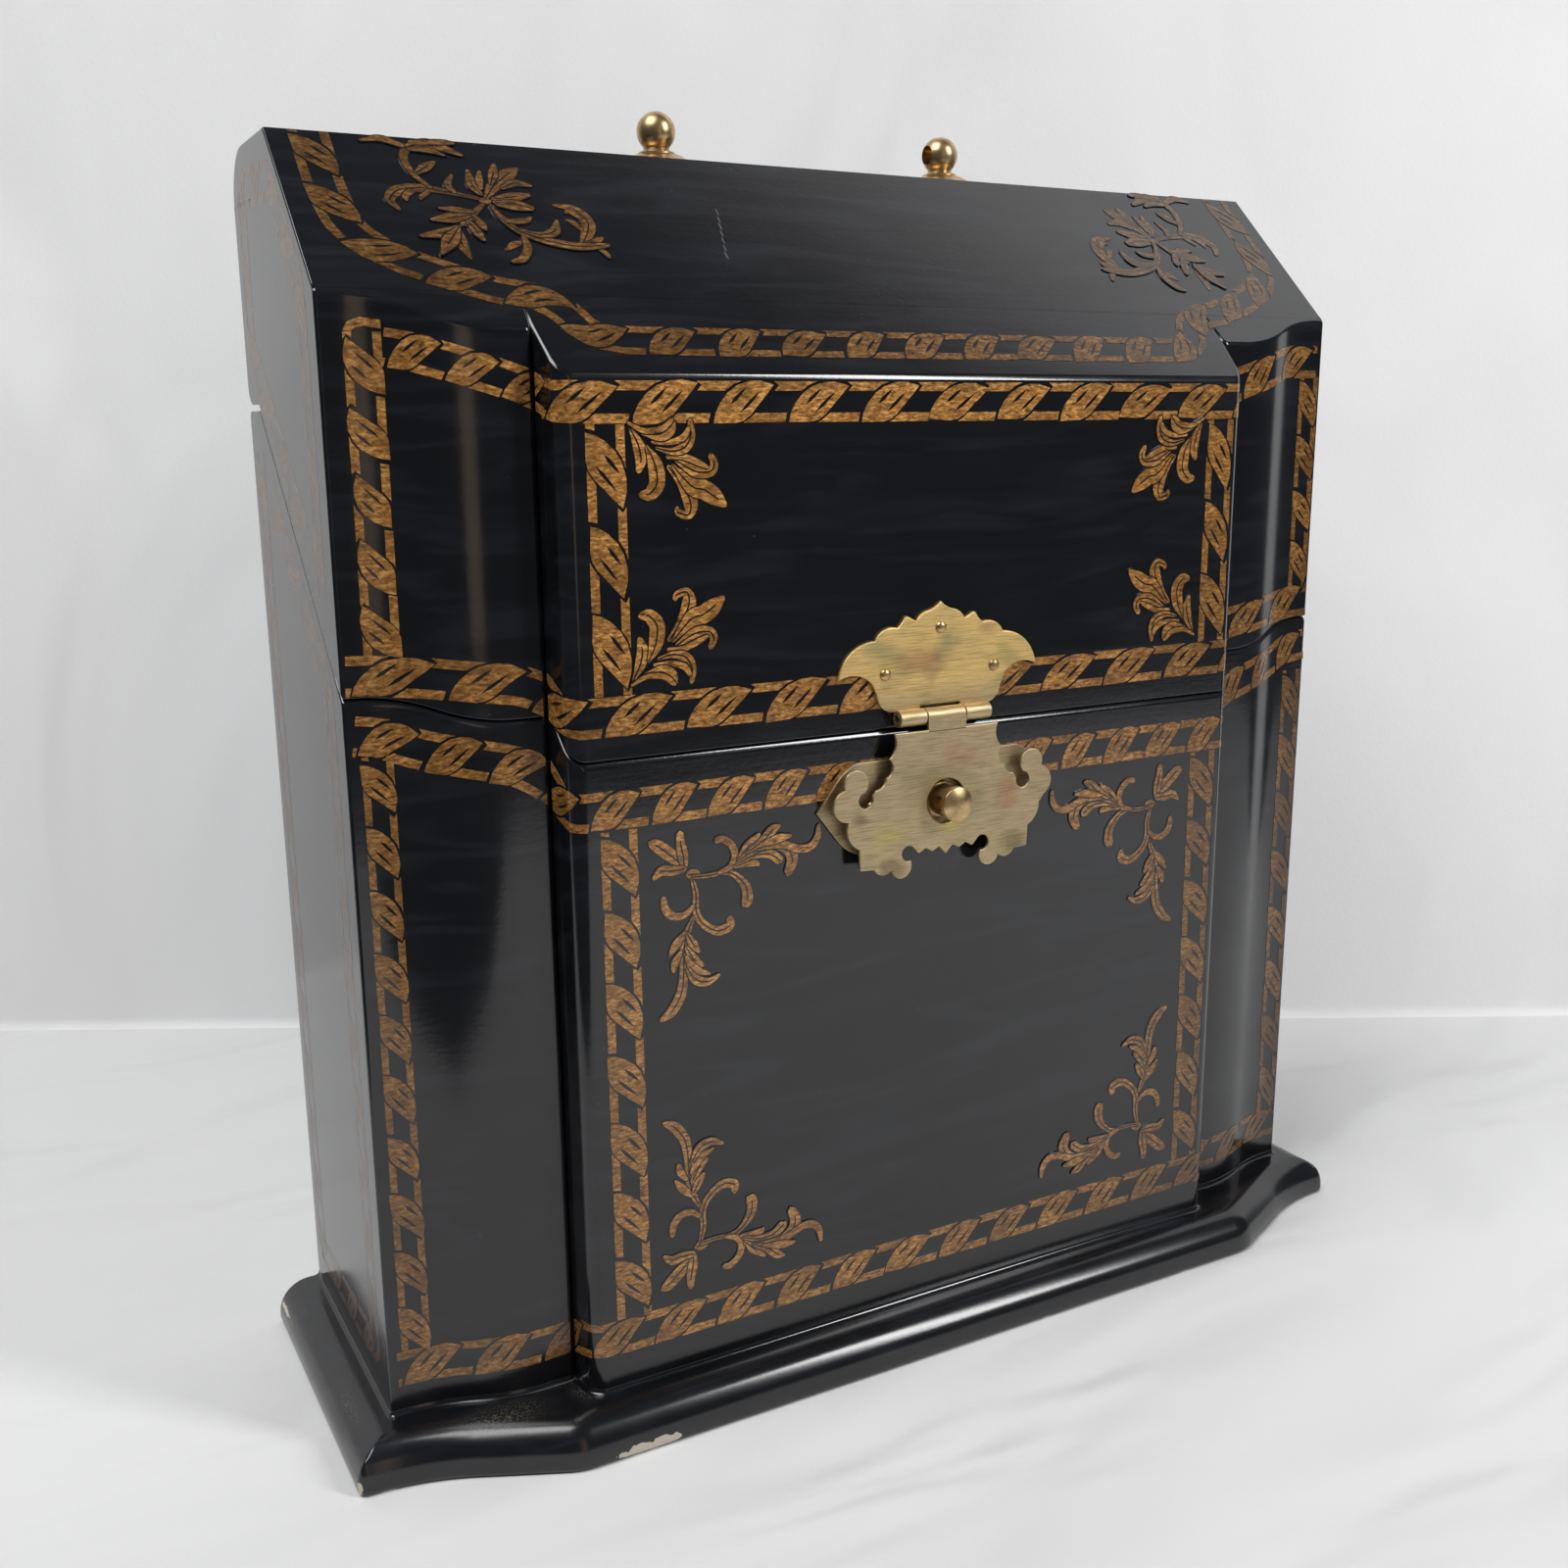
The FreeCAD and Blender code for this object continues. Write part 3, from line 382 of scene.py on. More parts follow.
def grid_faces(rows, count, closed=False):
    """The faces between rows of this many points. When closed, the last row meets the first."""
    return [(low * count + at, low * count + at + 1, (low + 1) % rows * count + at + 1,
             (low + 1) % rows * count + at)
            for low in range(rows if closed else rows - 1) for at in range(count - 1)]


def spun(name, profile, centre, axis, material, count=64):
    """A turned piece: (radius, height) points, walked from the foot up, about an axis."""
    lift = Vector(axis).normalized()
    side = lift.orthogonal().normalized()
    turn = lift.cross(side)
    points, rings = [], []
    for radius, height in profile:
        middle = Vector(centre) + lift * height
        if radius < 1e-6:
            rings.append([len(points)] * count)
            points.append(middle)
            continue
        rings.append(list(range(len(points), len(points) + count)))
        for at in range(count):
            angle = math.tau * at / count
            points.append(middle + (side * math.cos(angle) + turn * math.sin(angle)) * radius)
    faces = []
    for low, high in zip(rings, rings[1:]):
        for at in range(count):
            corners = [low[at], low[(at + 1) % count], high[(at + 1) % count], high[at]]
            face = [corner for place, corner in enumerate(corners) if corner not in corners[:place]]
            if len(face) > 2:
                faces.append(face)
    piece = new_piece(name, points, faces, material)
    return smooth(merge_close(piece, 1e-7), 35)


def cut_away(piece, *cutters):
    """Cuts these shapes out of the piece."""
    for cutter in cutters:
        step = piece.modifiers.new("cut", "BOOLEAN")
        step.operation = "DIFFERENCE"
        step.solver = "EXACT"
        step.object = cutter
    plain_mesh(piece)
    drop(*cutters)
    return piece


def joined(name, *pieces):
    """Several pieces as one object."""
    whole = bmesh.new()
    for piece in pieces:
        whole.from_mesh(piece.data)
    mesh = bpy.data.meshes.new(name)
    whole.to_mesh(mesh)
    whole.free()
    material = pieces[0].data.materials[0]
    drop(*pieces)
    return smooth(new_object(name, mesh, material), 32)


def merge_close(piece, distance=1e-6):
    """Merges points that meet, drops faces without area and turns all faces outwards."""
    tidy = bmesh.new()
    tidy.from_mesh(piece.data)
    bmesh.ops.remove_doubles(tidy, verts=tidy.verts, dist=distance)
    bmesh.ops.dissolve_degenerate(tidy, edges=tidy.edges, dist=distance / 10)
    bmesh.ops.recalc_face_normals(tidy, faces=tidy.faces)
    tidy.to_mesh(piece.data)
    tidy.free()
    return piece


def add_line(curve, points, closed=False):
    spline = curve.splines.new("POLY")
    spline.points.add(len(points) - 1)
    for point, (x, y) in zip(spline.points, points):
        point.co = (x, y, 0, 1)
    spline.use_cyclic_u = closed


def fretted_sheet(name, outline, holes, thickness, front, edge, material):
    """Sheet metal standing in the XZ plane: its outline and holes in (x, z), with filed edges."""
    curve = bpy.data.curves.new(name, "CURVE")
    curve.dimensions = "2D"
    curve.fill_mode = "BOTH"
    curve.extrude = (thickness / 2 - edge) / 1000
    curve.bevel_depth = edge / 1000
    curve.bevel_resolution = 3
    curve.offset = -edge / 1000
    for line in [outline] + holes:
        add_line(curve, [(x / 1000, z / 1000) for x, z in line], closed=True)
    shape = new_object(name, curve)
    mesh = evaluated_mesh(shape)
    drop(shape)
    upright = Matrix.Rotation(math.pi / 2, 4, "X")
    mesh.transform(Matrix.Translation(to_frame((0, front + thickness / 2, 0))) @ upright)
    return smooth(merge_close(new_object(name, mesh, material)), 50)


def ring(radius, x=0.0, z=0.0, count=48):
    return [(x + radius * math.cos(math.tau * at / count), z + radius * math.sin(math.tau * at / count))
            for at in range(count)]


# Materials


def link(tree, kind, inputs=None, **attributes):
    """Adds one node with its settings. An input is a number, a colour or another node's output."""
    node = tree.nodes.new(kind)
    for name, value in attributes.items():
        setattr(node, name, value)
    for name, value in (inputs or {}).items():
        socket = node.inputs[name]
        if isinstance(value, bpy.types.NodeSocket):
            tree.links.new(value, socket)
        elif socket.type == "RGBA" and len(value) == 3:
            socket.default_value = (*value, 1)
        else:
            socket.default_value = value
    return node


def maths(tree, kind, *values):
    return link(tree, "ShaderNodeMath", dict(enumerate(values)), operation=kind).outputs[0]


def vectors(tree, kind, *values):
    node = link(tree, "ShaderNodeVectorMath", dict(enumerate(values)), operation=kind)
    return node.outputs["Value" if kind == "LENGTH" else "Vector"]


def parts(tree, vector):
    return link(tree, "ShaderNodeSeparateXYZ", {0: vector}).outputs


def within(tree, value, low, high):
    """Where a value lies between these two, from 0 to 1."""
    return link(tree, "ShaderNodeMapRange", {"Value": value, "From Min": low, "From Max": high}).outputs[0]


def spots(tree, stretch=(1, 1, 1)):
    """Object coordinates in millimetres, stretched so that a pattern is longer along an axis."""
    place = link(tree, "ShaderNodeTexCoord").outputs["Object"]
    return vectors(tree, "MULTIPLY", place, [1000 / part for part in stretch])


def noise(tree, stretch, detail, roughness=0.5, distortion=0.0):
    """Soft patches, about this many millimetres long along X, Y and Z."""
    return link(tree, "ShaderNodeTexNoise", {"Vector": spots(tree, stretch), "Scale": 1, "Detail": detail,
                                             "Roughness": roughness,
                                             "Distortion": distortion}).outputs["Fac"]


def ramp(tree, value, *stops):
    """A value turned into a grey or a colour. A stop is a position and a grey or a colour."""
    node = link(tree, "ShaderNodeValToRGB", {"Fac": value})
    marks = node.color_ramp.elements
    while len(marks) > 1:
        marks.remove(marks[-1])
    for at, (position, tone) in enumerate(stops):
        mark = marks[0] if at == 0 else marks.new(position)
        mark.position = position
        mark.color = (*tone, 1) if isinstance(tone, tuple) else (tone, tone, tone, 1)
    return node.outputs["Color"]


def blend(tree, share_of_second, first, second, kind="MIX"):
    return link(tree, "ShaderNodeMix", {0: share_of_second, 6: first, 7: second}, data_type="RGBA",
                blend_type=kind).outputs[2]


def times(tint, factor):
    return tuple(min(1, part * factor) for part in tint)


def near(tree, places, ragged):
    """How close a spot is to the nearest of these places: below 1 inside its ragged edge."""
    here, closest = spots(tree), None
    for place, reach in places:
        way = vectors(tree, "SUBTRACT", here, tuple(to_frame(place) * 1000))
        away = vectors(tree, "LENGTH", vectors(tree, "DIVIDE", way, reach))
        closest = away if closest is None else maths(tree, "MINIMUM", closest, away)
    raggedness = 0.9
    return maths(tree, "MULTIPLY_ADD", ragged, raggedness, closest)


def shaded(tree, inputs, *reliefs):
    """The tree's shader with these inputs. A relief is a pattern, its strength and its depth in metres."""
    for pattern, strength, depth in reliefs:
        under = {"Normal": inputs["Normal"]} if "Normal" in inputs else {}
        bump = link(tree, "ShaderNodeBump", {"Height": pattern, "Strength": strength, "Distance": depth,
                                             **under})
        inputs["Normal"] = bump.outputs["Normal"]
    shader = link(tree, "ShaderNodeBsdfPrincipled", inputs).outputs["BSDF"]
    return link(tree, "ShaderNodeOutputMaterial", {"Surface": shader}).inputs["Surface"], shader


LACQUER_IOR = 1.6
MATT = (0.8, 0.8, 0.8)


def lacquer_finish(tree, colours, chips=(), dusty=(), chip_tone=None, dull=0.12):
    """Satin black lacquer, sprayed on wood and rubbed down: a faint orange peel, and the grain still
    telegraphs through as ripples along the boards. Lighter streaks in its colour are a painted
    reflection of those ripples. A little dust lies on it. chips are places where the wood shows,
    dusty are corners that nobody wipes, both with how far they reach."""
    rubbed = noise(tree, (26, 26, 26), 4)
    tone = blend(tree, rubbed, times(colours.lacquer, 0.75), times(colours.lacquer, 1.35))
    # Lighter streaks along the boards, painted into the colour: a painted reflection of the grain's
    # ripples.
    painted_ripple_reflection = ramp(tree, noise(tree, (70, 14, 10), 3, distortion=1.6), (0.48, 0), (0.66, 0.8))
    tone = blend(tree, painted_ripple_reflection, tone, times(colours.lacquer, 2.6))
    specks = link(tree, "ShaderNodeTexVoronoi", {"Vector": spots(tree), "Scale": 0.13})
    dust = ramp(tree, specks.outputs["Distance"], (0, 0.5), (0.014, 0.35), (0.026, 0))
    tone = blend(tree, dust, tone, linear("#8F8D88"))
    sheen = ramp(tree, rubbed, (0.25, dull), (0.75, dull + 0.04))
    if dusty:
        fine = noise(tree, (0.55, 0.55, 0.55), 2)
        lying = maths(tree, "MULTIPLY", ramp(tree, near(tree, dusty, fine), (0.45, 1), (1, 0)),
                      ramp(tree, fine, (0.53, 0.04), (0.62, 0.55)))
        tone = blend(tree, lying, tone, linear("#7D766A"))
        sheen = blend(tree, lying, sheen, MATT)
    if chips:
        bare = ramp(tree, near(tree, chips, noise(tree, (2.2, 2.2, 2.2), 3)), (0, 1), (0.97, 1), (1, 0))
        tone = blend(tree, bare, tone, linear(chip_tone) if chip_tone else colours.bare_wood)
        sheen = blend(tree, bare, sheen, MATT)
    shaded(tree, {"Base Color": tone, "Roughness": sheen, "IOR": LACQUER_IOR},
           (noise(tree, (46, 3.2, 2.6), 3, 0.6, 0.4), 1, 0.000012),
           (noise(tree, (1.5, 1.5, 1.5), 1), 1, 0.000009))


def gold_finish(tree, colours, strength=1.0):
    """Antique gold paint, brushed on by hand under the last coat of lacquer: matt gold with a dark
    grain along the boards under the lacquer's satin. It is darker at the far left, towards the right
    and lower down, and a little from leaf to leaf. Its colour is scaled down where strength is low."""
    fine = noise(tree, (2.2, 1.3, 0.75), 4, 0.75)
    broad = ramp(tree, noise(tree, (9, 9, 5), 3), (0.36, 0.55), (0.56, 0))
    gold = times(colours.gold, strength)
    bright = tuple(min(1, part * more) for part, more in zip(gold, (1.9, 2.25, 3.3)))
    tone = ramp(tree, fine, (0.34, times(gold, 0.12)), (0.46, times(gold, 0.8)), (0.51, gold),
                (0.62, bright))
    tone = blend(tree, broad, tone, times(gold, 0.35))
    hand = link(tree, "ShaderNodeAttribute", attribute_name="leaf_tone").outputs["Fac"]
    place = parts(tree, spots(tree))
    # Darker at the far left, towards the right and lower down, and a little from leaf to leaf.
    rubbed = ramp(tree, within(tree, place["X"], -165, 165), (0.05, 0.26), (0.18, 0.2), (0.23, 0.02),
                  (0.5, 0.04), (0.7, 0.16), (0.79, 0.38), (0.93, 0.42), (0.96, 0.56))
    for more in (ramp(tree, within(tree, place["Z"], 0, 340), (0.06, 0.36), (0.47, 0.26), (0.57, 0.14),
                      (0.7, 0)),
                 ramp(tree, hand, (0, 0), (1, 0.16))):
        rubbed = maths(tree, "ADD", rubbed, more)
    tone = blend(tree, rubbed, tone, times(gold, 0.1))
    shaded(tree, {"Base Color": tone, "Roughness": 0.22, "IOR": LACQUER_IOR}, (fine, 0.5, 0.00001))


def dark_line_finish(tree, colours):
    """Black lines brushed over the gold paint under the last coat of lacquer."""
    shaded(tree, {"Base Color": times(colours.lacquer, 1.3), "Roughness": 0.2, "IOR": LACQUER_IOR})


def sheet_brass_finish(tree, colours):
    """Aged sheet brass, brushed across and left to tarnish: fine level scratches over patches of
    yellow, greenish and coppery metal."""
    streaks = noise(tree, (7, 2, 0.15), 3, 0.6)
    ragged = noise(tree, (9, 6, 5), 2)
    # Below about 183 mm the brass turns to its darker copy: painted shade on the hasp's lower part.
    low = within(tree, parts(tree, spots(tree))["Z"], 192, 183)
    green = ramp(tree, noise(tree, (17, 12, 13), 2, 0.45, 0.5), (0.32, 0.7), (0.5, 0))
    tone = blend(tree, green, blend(tree, low, colours.brass, colours.brass_dull), colours.brass_green)
    for places, tint, most in ((BRASS_YELLOW, colours.brass_yellow, 0.65),
                               (BRASS_WARM, colours.copper, 0.5), (BRASS_STAINS, colours.stain, 0.65)):
        tone = blend(tree, ramp(tree, near(tree, places, ragged), (0.6, most), (1, 0)), tone, tint)
    tone = blend(tree, ramp(tree, streaks, (0.36, 0.5), (0.56, 0)), tone, linear("#8A7C58"), "MULTIPLY")
    shaded(tree, {"Base Color": tone, "Roughness": ramp(tree, streaks, (0.3, 0.55), (0.7, 0.46)),
                  "Metallic": 1}, (streaks, 0.5, 0.00002))


def turned_brass_finish(tree, colours):
    """Turned brass, polished once and dulled by handling: a darker bloom over a smooth surface."""
    bloom = noise(tree, (4, 4, 4), 4)
    tone = ramp(tree, bloom, (0.3, times(colours.turned_brass, 0.55)), (0.6, colours.turned_brass))
    shaded(tree, {"Base Color": tone, "Roughness": ramp(tree, bloom, (0.3, 0.42), (0.7, 0.24)),
                  "Metallic": 1})


def stained_wood_finish(tree, colours):
    """Thin stained boards, planed and matt: soft grain along the boards."""
    tone = ramp(tree, noise(tree, (60, 3, 1.6), 5, distortion=0.3), (0.3, times(colours.inside, 0.5)),
                (0.65, times(colours.inside, 1.4)))
    shaded(tree, {"Base Color": tone, "Roughness": 0.6})


def cloth_finish(tree, colours, tint, shaded_above=1.0, one_sided=False):
    """Plain woven cotton: matt, with a thread pattern and soft folds. Above half a metre it hangs in
    the shade, down to this share of its tone. One-sided cloth is only there from the front, so that
    the back of the object can be seen."""
    tint, fall = getattr(colours, tint), 1 - shaded_above
    metres = (1000, 1000, 1000)
    shade = ramp(tree, parts(tree, spots(tree, metres))["Z"], (0.6, 1), (0.72, 1 - fall * 0.12),
                 (0.8, 1 - fall * 0.45), (0.9, 1 - fall * 0.72), (1, shaded_above))
    tone = blend(tree, noise(tree, (160, 160, 160), 2), times(tint, 0.95), tint)
    tone = blend(tree, 1, tone, shade, "MULTIPLY")
    surface, shader = shaded(tree, {"Base Color": tone, "Roughness": 0.95, "Specular IOR Level": 0.1},
                             (noise(tree, (150, 60, 240), 1.5, distortion=0.8), 1, 0.012),
                             (noise(tree, (1.6, 1.6, 1.6), 2), 0.25, 0.0003))
    if one_sided:
        behind = link(tree, "ShaderNodeNewGeometry").outputs["Backfacing"]
        clear = link(tree, "ShaderNodeBsdfTransparent").outputs[0]
        mix = link(tree, "ShaderNodeMixShader", {0: behind, 1: shader, 2: clear}).outputs[0]
        tree.links.new(mix, surface)


# Where the plinth's lacquer is knocked off and where it is dusty: the middle of each place, and how
# far it reaches along X, Y and Z.
PLINTH_CHIPS = [((-93, -12.4, -10.4), (19, 3, 3.4)), ((-164.2, 6.4, -9.6), (1.5, 1.8, 3.0)),
                ((-164.3, 93, -5.2), (1.5, 15, 1.9)), ((-158, 5.6, -12.3), (6, 2, 1.3)),
                ((33, -12, -12), (3, 2, 1.6)), ((87, -12, -12), (3.5, 2, 1.5))]
PLINTH_DUST = [((-128, 4, 0), (34, 16, 6)), ((-106, 4, 0), (9, 14, 5)), ((-160, 30, -2), (7, 34, 5))]
# The yellow parts, the worn coppery parts and the brown stains of the hasp.
BRASS_YELLOW = [((-18, -4, 139), (11, 9, 10)), ((2, -4, 140), (10, 9, 6)), ((-17, -1, 183), (6, 9, 10)),
                ((20, -1, 186), (6, 9, 7))]
BRASS_WARM = [((-6, -1, 185), (17, 9, 9)), ((15, -1, 192), (8, 9, 6)), ((2, -4, 160), (17, 9, 9)),
              ((20, -4, 148), (9, 9, 12))]
BRASS_STAINS = [((-17, -4, 131), (8, 9, 6)), ((-27, -4, 145), (5, 9, 4)), ((22, -4, 133), (10, 9, 7))]
# The scratch on the slope, as a row of such places.
SLOPE_SCRATCH = [((-41.8 - 0.6 * at, 42.6 - 2 * at, 299.6 - 2 * at), (0.45, 2.6, 2.6))
                 for at in range(7)]

# How each material is made: its function, and what that function is told.
FINISHES = {
    "satin_black_lacquer": (lacquer_finish, {}),
    "chipped_black_lacquer": (lacquer_finish, {"chips": PLINTH_CHIPS, "dusty": PLINTH_DUST, "dull": 0.17}),
    "scratched_black_lacquer": (lacquer_finish, {"chips": SLOPE_SCRATCH, "chip_tone": "#454547"}),
    "antique_gold_paint": (gold_finish, {}),
    # The gold paint on the sides and on the slope is at about a third of its strength.
    "faded_gold_paint": (gold_finish, {"strength": 0.35}),
    "rubbed_gold_paint": (gold_finish, {"strength": 0.33}),
    "dark_lines": (dark_line_finish, {}),
    "aged_brushed_brass": (sheet_brass_finish, {}),
    "turned_aged_brass": (turned_brass_finish, {}),
    "stained_thin_board": (stained_wood_finish, {}),
    "floor_cloth": (cloth_finish, {"tint": "floor"}),
    "backdrop_cloth": (cloth_finish, {"tint": "backdrop", "shaded_above": 0.15, "one_sided": True})}


def finish(name):
    """The material of this name, made when it is first asked for."""
    material = bpy.data.materials.get(name)
    if material is None:
        material = bpy.data.materials.new(name)
        material.use_nodes = True
        material.node_tree.nodes.clear()
        make, told = FINISHES[name]
        make(material.node_tree, sizes(settings().finish), **told)
    return material


# Wooden pieces


def turns(step, first, last):
    """Angles this many degrees apart."""
    return [math.radians(step * at) for at in range(first, last + 1)]


def plinth_line(case, inward):
    """The plinth's edge in plan, this far in from its outermost line, from the left end to the right.
    The straight front turns in at the knees, an arc swings out to the corners and the sides run back."""
    side = case.width / 2 + case.plinth_overhang
    knee, waist = Vector((case.plinth_knee, -case.plinth_overhang)), Vector((case.plinth_waist, -0.6))
    corner_depth, eased, knee_round = 5.4, 2.2, 16
    turn = math.atan2(waist.y - knee.y, waist.x - knee.x)
    rise = corner_depth - waist.y
    flank = ((side - waist.x) ** 2 + rise ** 2) / (rise * 2)
    knee_middle = knee + Vector((-knee_round * math.tan(turn / 2), knee_round))
    line = [knee_middle + Vector((math.sin(angle), -math.cos(angle))) * (knee_round - inward)
            for angle in [turn * at / 6 for at in range(7)]]
    flank_middle = Vector((side, corner_depth - flank))
    radius = flank + inward
    corner = max(eased - inward, 0.0)
    start = -math.asin((side - waist.x) / flank)
    end = -math.asin((inward + corner) / radius)
    line += [flank_middle + Vector((math.sin(angle), math.cos(angle))) * radius
             for angle in [start + (end - start) * at / 24 for at in range(25)]]
    corner_middle = line[-1] + Vector((0, corner))
    line += [corner_middle + Vector((math.sin(angle), -math.cos(angle))) * corner
             for angle in turns(15, 1, 6)]
    line.append(Vector((side - inward, case.depth)))
    right = [tuple(point) for point in line]
    return mirrored(right) + right


def swept(name, rows, finish_name, closed):
    """A solid along rows of points. Closed rows go all round it, and others have faces over the first
    and the last row and between their ends."""
    many, count = len(rows), len(rows[0])
    rising = [low * count for low in range(many)]
    falling = [low * count + count - 1 for low in reversed(range(many))]
    faces = grid_faces(many, count, closed)
    if closed:
        faces += [rising, falling]
    else:
        faces += [range(count - 1, -1, -1), range(rising[-1], falling[0] + 1), rising + falling]
    return new_piece(name, [point for row in rows for point in row], faces, finish(finish_name))


class LETTERBOX_OT_plinth(bpy.types.Operator):
    """Makes the moulded plinth and the bead of lacquer round the foot of the case"""
    bl_idname = "letter_box.plinth"
    bl_label = "Plinth"

    def execute(self, context):
        case = sizes(settings().case)
        nose, foot = case.plinth_nose, case.plinth_foot
        profile = [(foot, 0.0)]
        profile += [(foot - foot * math.sin(turn), foot - foot * math.cos(turn))
                    for turn in turns(30, 1, 3)]
        profile += [(nose - nose * math.cos(turn), PLINTH_TOP - nose + nose * math.sin(turn))
                    for turn in turns(9, 0, 10)]
        rows = [[(x, y, height - PLINTH_TOP) for x, y in plinth_line(case, distance)]
                for distance, height in profile]
        plinth = merge_close(swept("plinth", rows, "chipped_black_lacquer", closed=False))
        settle(weigh_normals(smooth(plinth, 50)), "body", ["plinth_board"], "lacquer")

        block, wing = front_line(case)
        right = block + wing + [(case.width / 2, case.depth)]
        plan = mirrored(right)[:-1] + right
        bead, sunk, behind = 1.3, -0.2, 0.4
        profile = [(-bead, sunk), (-bead, 0.02)]
        profile += [(-bead * (1 - math.sin(turn)), bead * (1 - math.cos(turn))) for turn in turns(30, 1, 2)]
        profile += [(0, bead), (behind, bead), (behind, sunk)]
        rows = [[(x, y, height) for x, y in inset(plan, distance)] for distance, height in profile]
        cove = swept("foot_bead", rows, "satin_black_lacquer", closed=True)
        settle(smooth(cove, 40), "body", slot="lacquer")
        return {"FINISHED"}


def inset(line, distance):
    """The line moved to its left, mitred at its corners. Its ends stay in their plane."""
    moved = []
    for at, (x, y) in enumerate(line):
        before = Vector(line[max(at - 1, 0)])
        here = Vector((x, y))
        after = Vector(line[min(at + 1, len(line) - 1)])
        ways = [way.normalized() for way in (here - before, after - here) if way.length > 1e-9]
        sides = [Vector((-way.y, way.x)) for way in ways]
        middle = sum(sides, Vector((0, 0))).normalized()
        stretch = max(0.3, middle.dot(sides[0]))
        moved.append(tuple(here + middle * distance / stretch))
    return moved


def front_softness(case, cut, setback):
    """Eases the saw cut along the front, and the outer edge of the side boards a little."""
    limit = case.wing_step + case.ogee_rise + case.edge + SAME
    longest = (case.block_half - case.block_draft - case.block_round) * 2 + SAME

    def softness(start, end):
        if any(abs(point.z - cut(point.y)) > SAME for point in (start, end)):
            return 0
        if max(start.y, end.y) < limit and abs(start.x - end.x) + abs(start.y - end.y) < longest:
            return setback if (start - end).length > 1e-6 else 0
        on_side = all(abs(abs(point.x) - case.width / 2) < SAME for point in (start, end))
        return 0.25 if on_side else 0
    return softness


class LETTERBOX_OT_case(bpy.types.Operator):
    """Makes the boards of the body and the lid"""
    bl_idname = "letter_box.case"
    bl_label = "Boards of the case"

    def execute(self, context):
        case = sizes(settings().case)
        lacquer = finish("satin_black_lacquer")
        half, thick, knee = case.width / 2, case.front_board, case.slope_run
        inner_back, level = case.depth - case.back_board, case.height - case.top_board
        block, wing = front_line(case)

        def slope_under(y):
            return slope(case, y) - case.top_board

        cuts = {"body": lambda y: body_cut(case, y), "lid": lambda y: lid_cut(case, y)}
        spans = {"body": (lambda y: 0.0, cuts["body"]), "lid": (cuts["lid"], slope_under)}
        # Each softness says how far an edge from one point to another is rounded, in millimetres.
        softness = {body: front_softness(case, cuts[body], setback)
                    for body, setback in (("body", 0.9), ("lid", 0.5))}
        block_plan = [(-case.block_half, thick)] + mirrored(block)[:-1] + block + [(case.block_half, thick)]
        right_wing = [(case.block_half, thick)] + wing + [(half, thick)]
        for name, plan in (("front_block", block_plan), ("left_wing", mirrored(right_wing)),
                           ("right_wing", right_wing)):
            for body, (bottom, top) in spans.items():
                board = prism(f"{body}_{name}_board", plan, bottom, top, lacquer, softness[body])
                settle(board, body, [f"{body}_{name}"], "lacquer")

        sections = {"body": [(thick, 0), (inner_back, 0), (inner_back, body_cut(case, inner_back)),
                             (thick, body_cut(case, thick))],
                    "lid": [(thick, lid_cut(case, thick)), (inner_back, lid_cut(case, inner_back)),
                            (inner_back, level), (knee, level), (thick, slope_under(thick))]}
        for name, hand in HANDS:
            low, high = sorted((half * hand, (half - case.side_board) * hand))
            for body, section in sections.items():
                board = bar(f"{body}_{name}_side_board", section, low, high, lacquer)
                settle(round_over(board, softness[body]), body, [f"{body}_{name}_side"], "lacquer")

        panel_right = block + wing + [(half, knee)]
        panel_plan = mirrored(panel_right)[:-1] + panel_right

        def panel_softness(start, end):
            if any(abs(point.z - slope(case, point.y)) > SAME for point in (start, end)) \
                    or min(start.y, end.y) > knee - 0.1:
                return 0
            if all(abs(abs(point.x) - half) < SAME for point in (start, end)):
                return 0.5
            return 1.1 if max(abs(start.x), abs(end.x)) < case.block_half + SAME else 0.7

        panel = prism("lid_slope_panel_board", panel_plan, slope_under, lambda y: slope(case, y),
                      finish("scratched_black_lacquer"), panel_softness)
        settle(panel, "lid", ["lid_slope_panel"], "lacquer")

        def end_grain(start, end):
            outer = abs(abs(start.x) - half) < SAME and start.x == end.x
            return 0.6 if outer and start.y > knee + 0.1 and abs(start.z - level) > SAME else 0

        roof = traced((knee, level), [(case.depth, level),
                                      (case.depth - case.top_board, case.height, case.top_board),
                                      (knee, case.height)], 0.8)
        board = round_over(bar("lid_top_board_board", roof, -half, half, lacquer), end_grain)
        settle(board, "lid", ["lid_top_board"], "lacquer")

        def back_softness(start, end):
            upright = abs(start.x - end.x) < SAME and abs(start.z - end.z) > 20
            return 0.4 if upright and min(start.y, end.y) > case.depth - SAME else 0

        hinge_at, hinge_half, seat_depth, seat_height = 88, 20, 10.5, 1.2
        foot, head = case.lid_back_foot, case.body_back_top
        foot_round, head_round = case.lid_back_round, case.body_back_round
        lower = traced((inner_back, 0), [(case.depth, 0), (case.depth, head - head_round),
                                         (case.depth - head_round, head, head_round), (inner_back, head)])
        upper = traced((inner_back, foot), [(case.depth - foot_round, foot),
                                            (case.depth, foot + foot_round, foot_round),
                                            (case.depth, level), (inner_back, level)])
        for body, section, low, high in (("body", lower, head - seat_height, head + 3),
                                         ("lid", upper, foot - 3, foot + seat_height)):
            board = bar(f"{body}_back_board", section, -half, half, lacquer)
            front, back = case.depth - seat_depth, case.depth + 3
            seat = [(front, low), (back, low), (back, high), (front, high)]
            cut_away(board, *(bar("hinge_seat", seat, hinge_at * hand - hinge_half,
                                  hinge_at * hand + hinge_half, lacquer) for _, hand in HANDS))
            settle(round_over(board, back_softness), body, [f"{body}_back"], "lacquer")
        return {"FINISHED"}


# Painted ornament


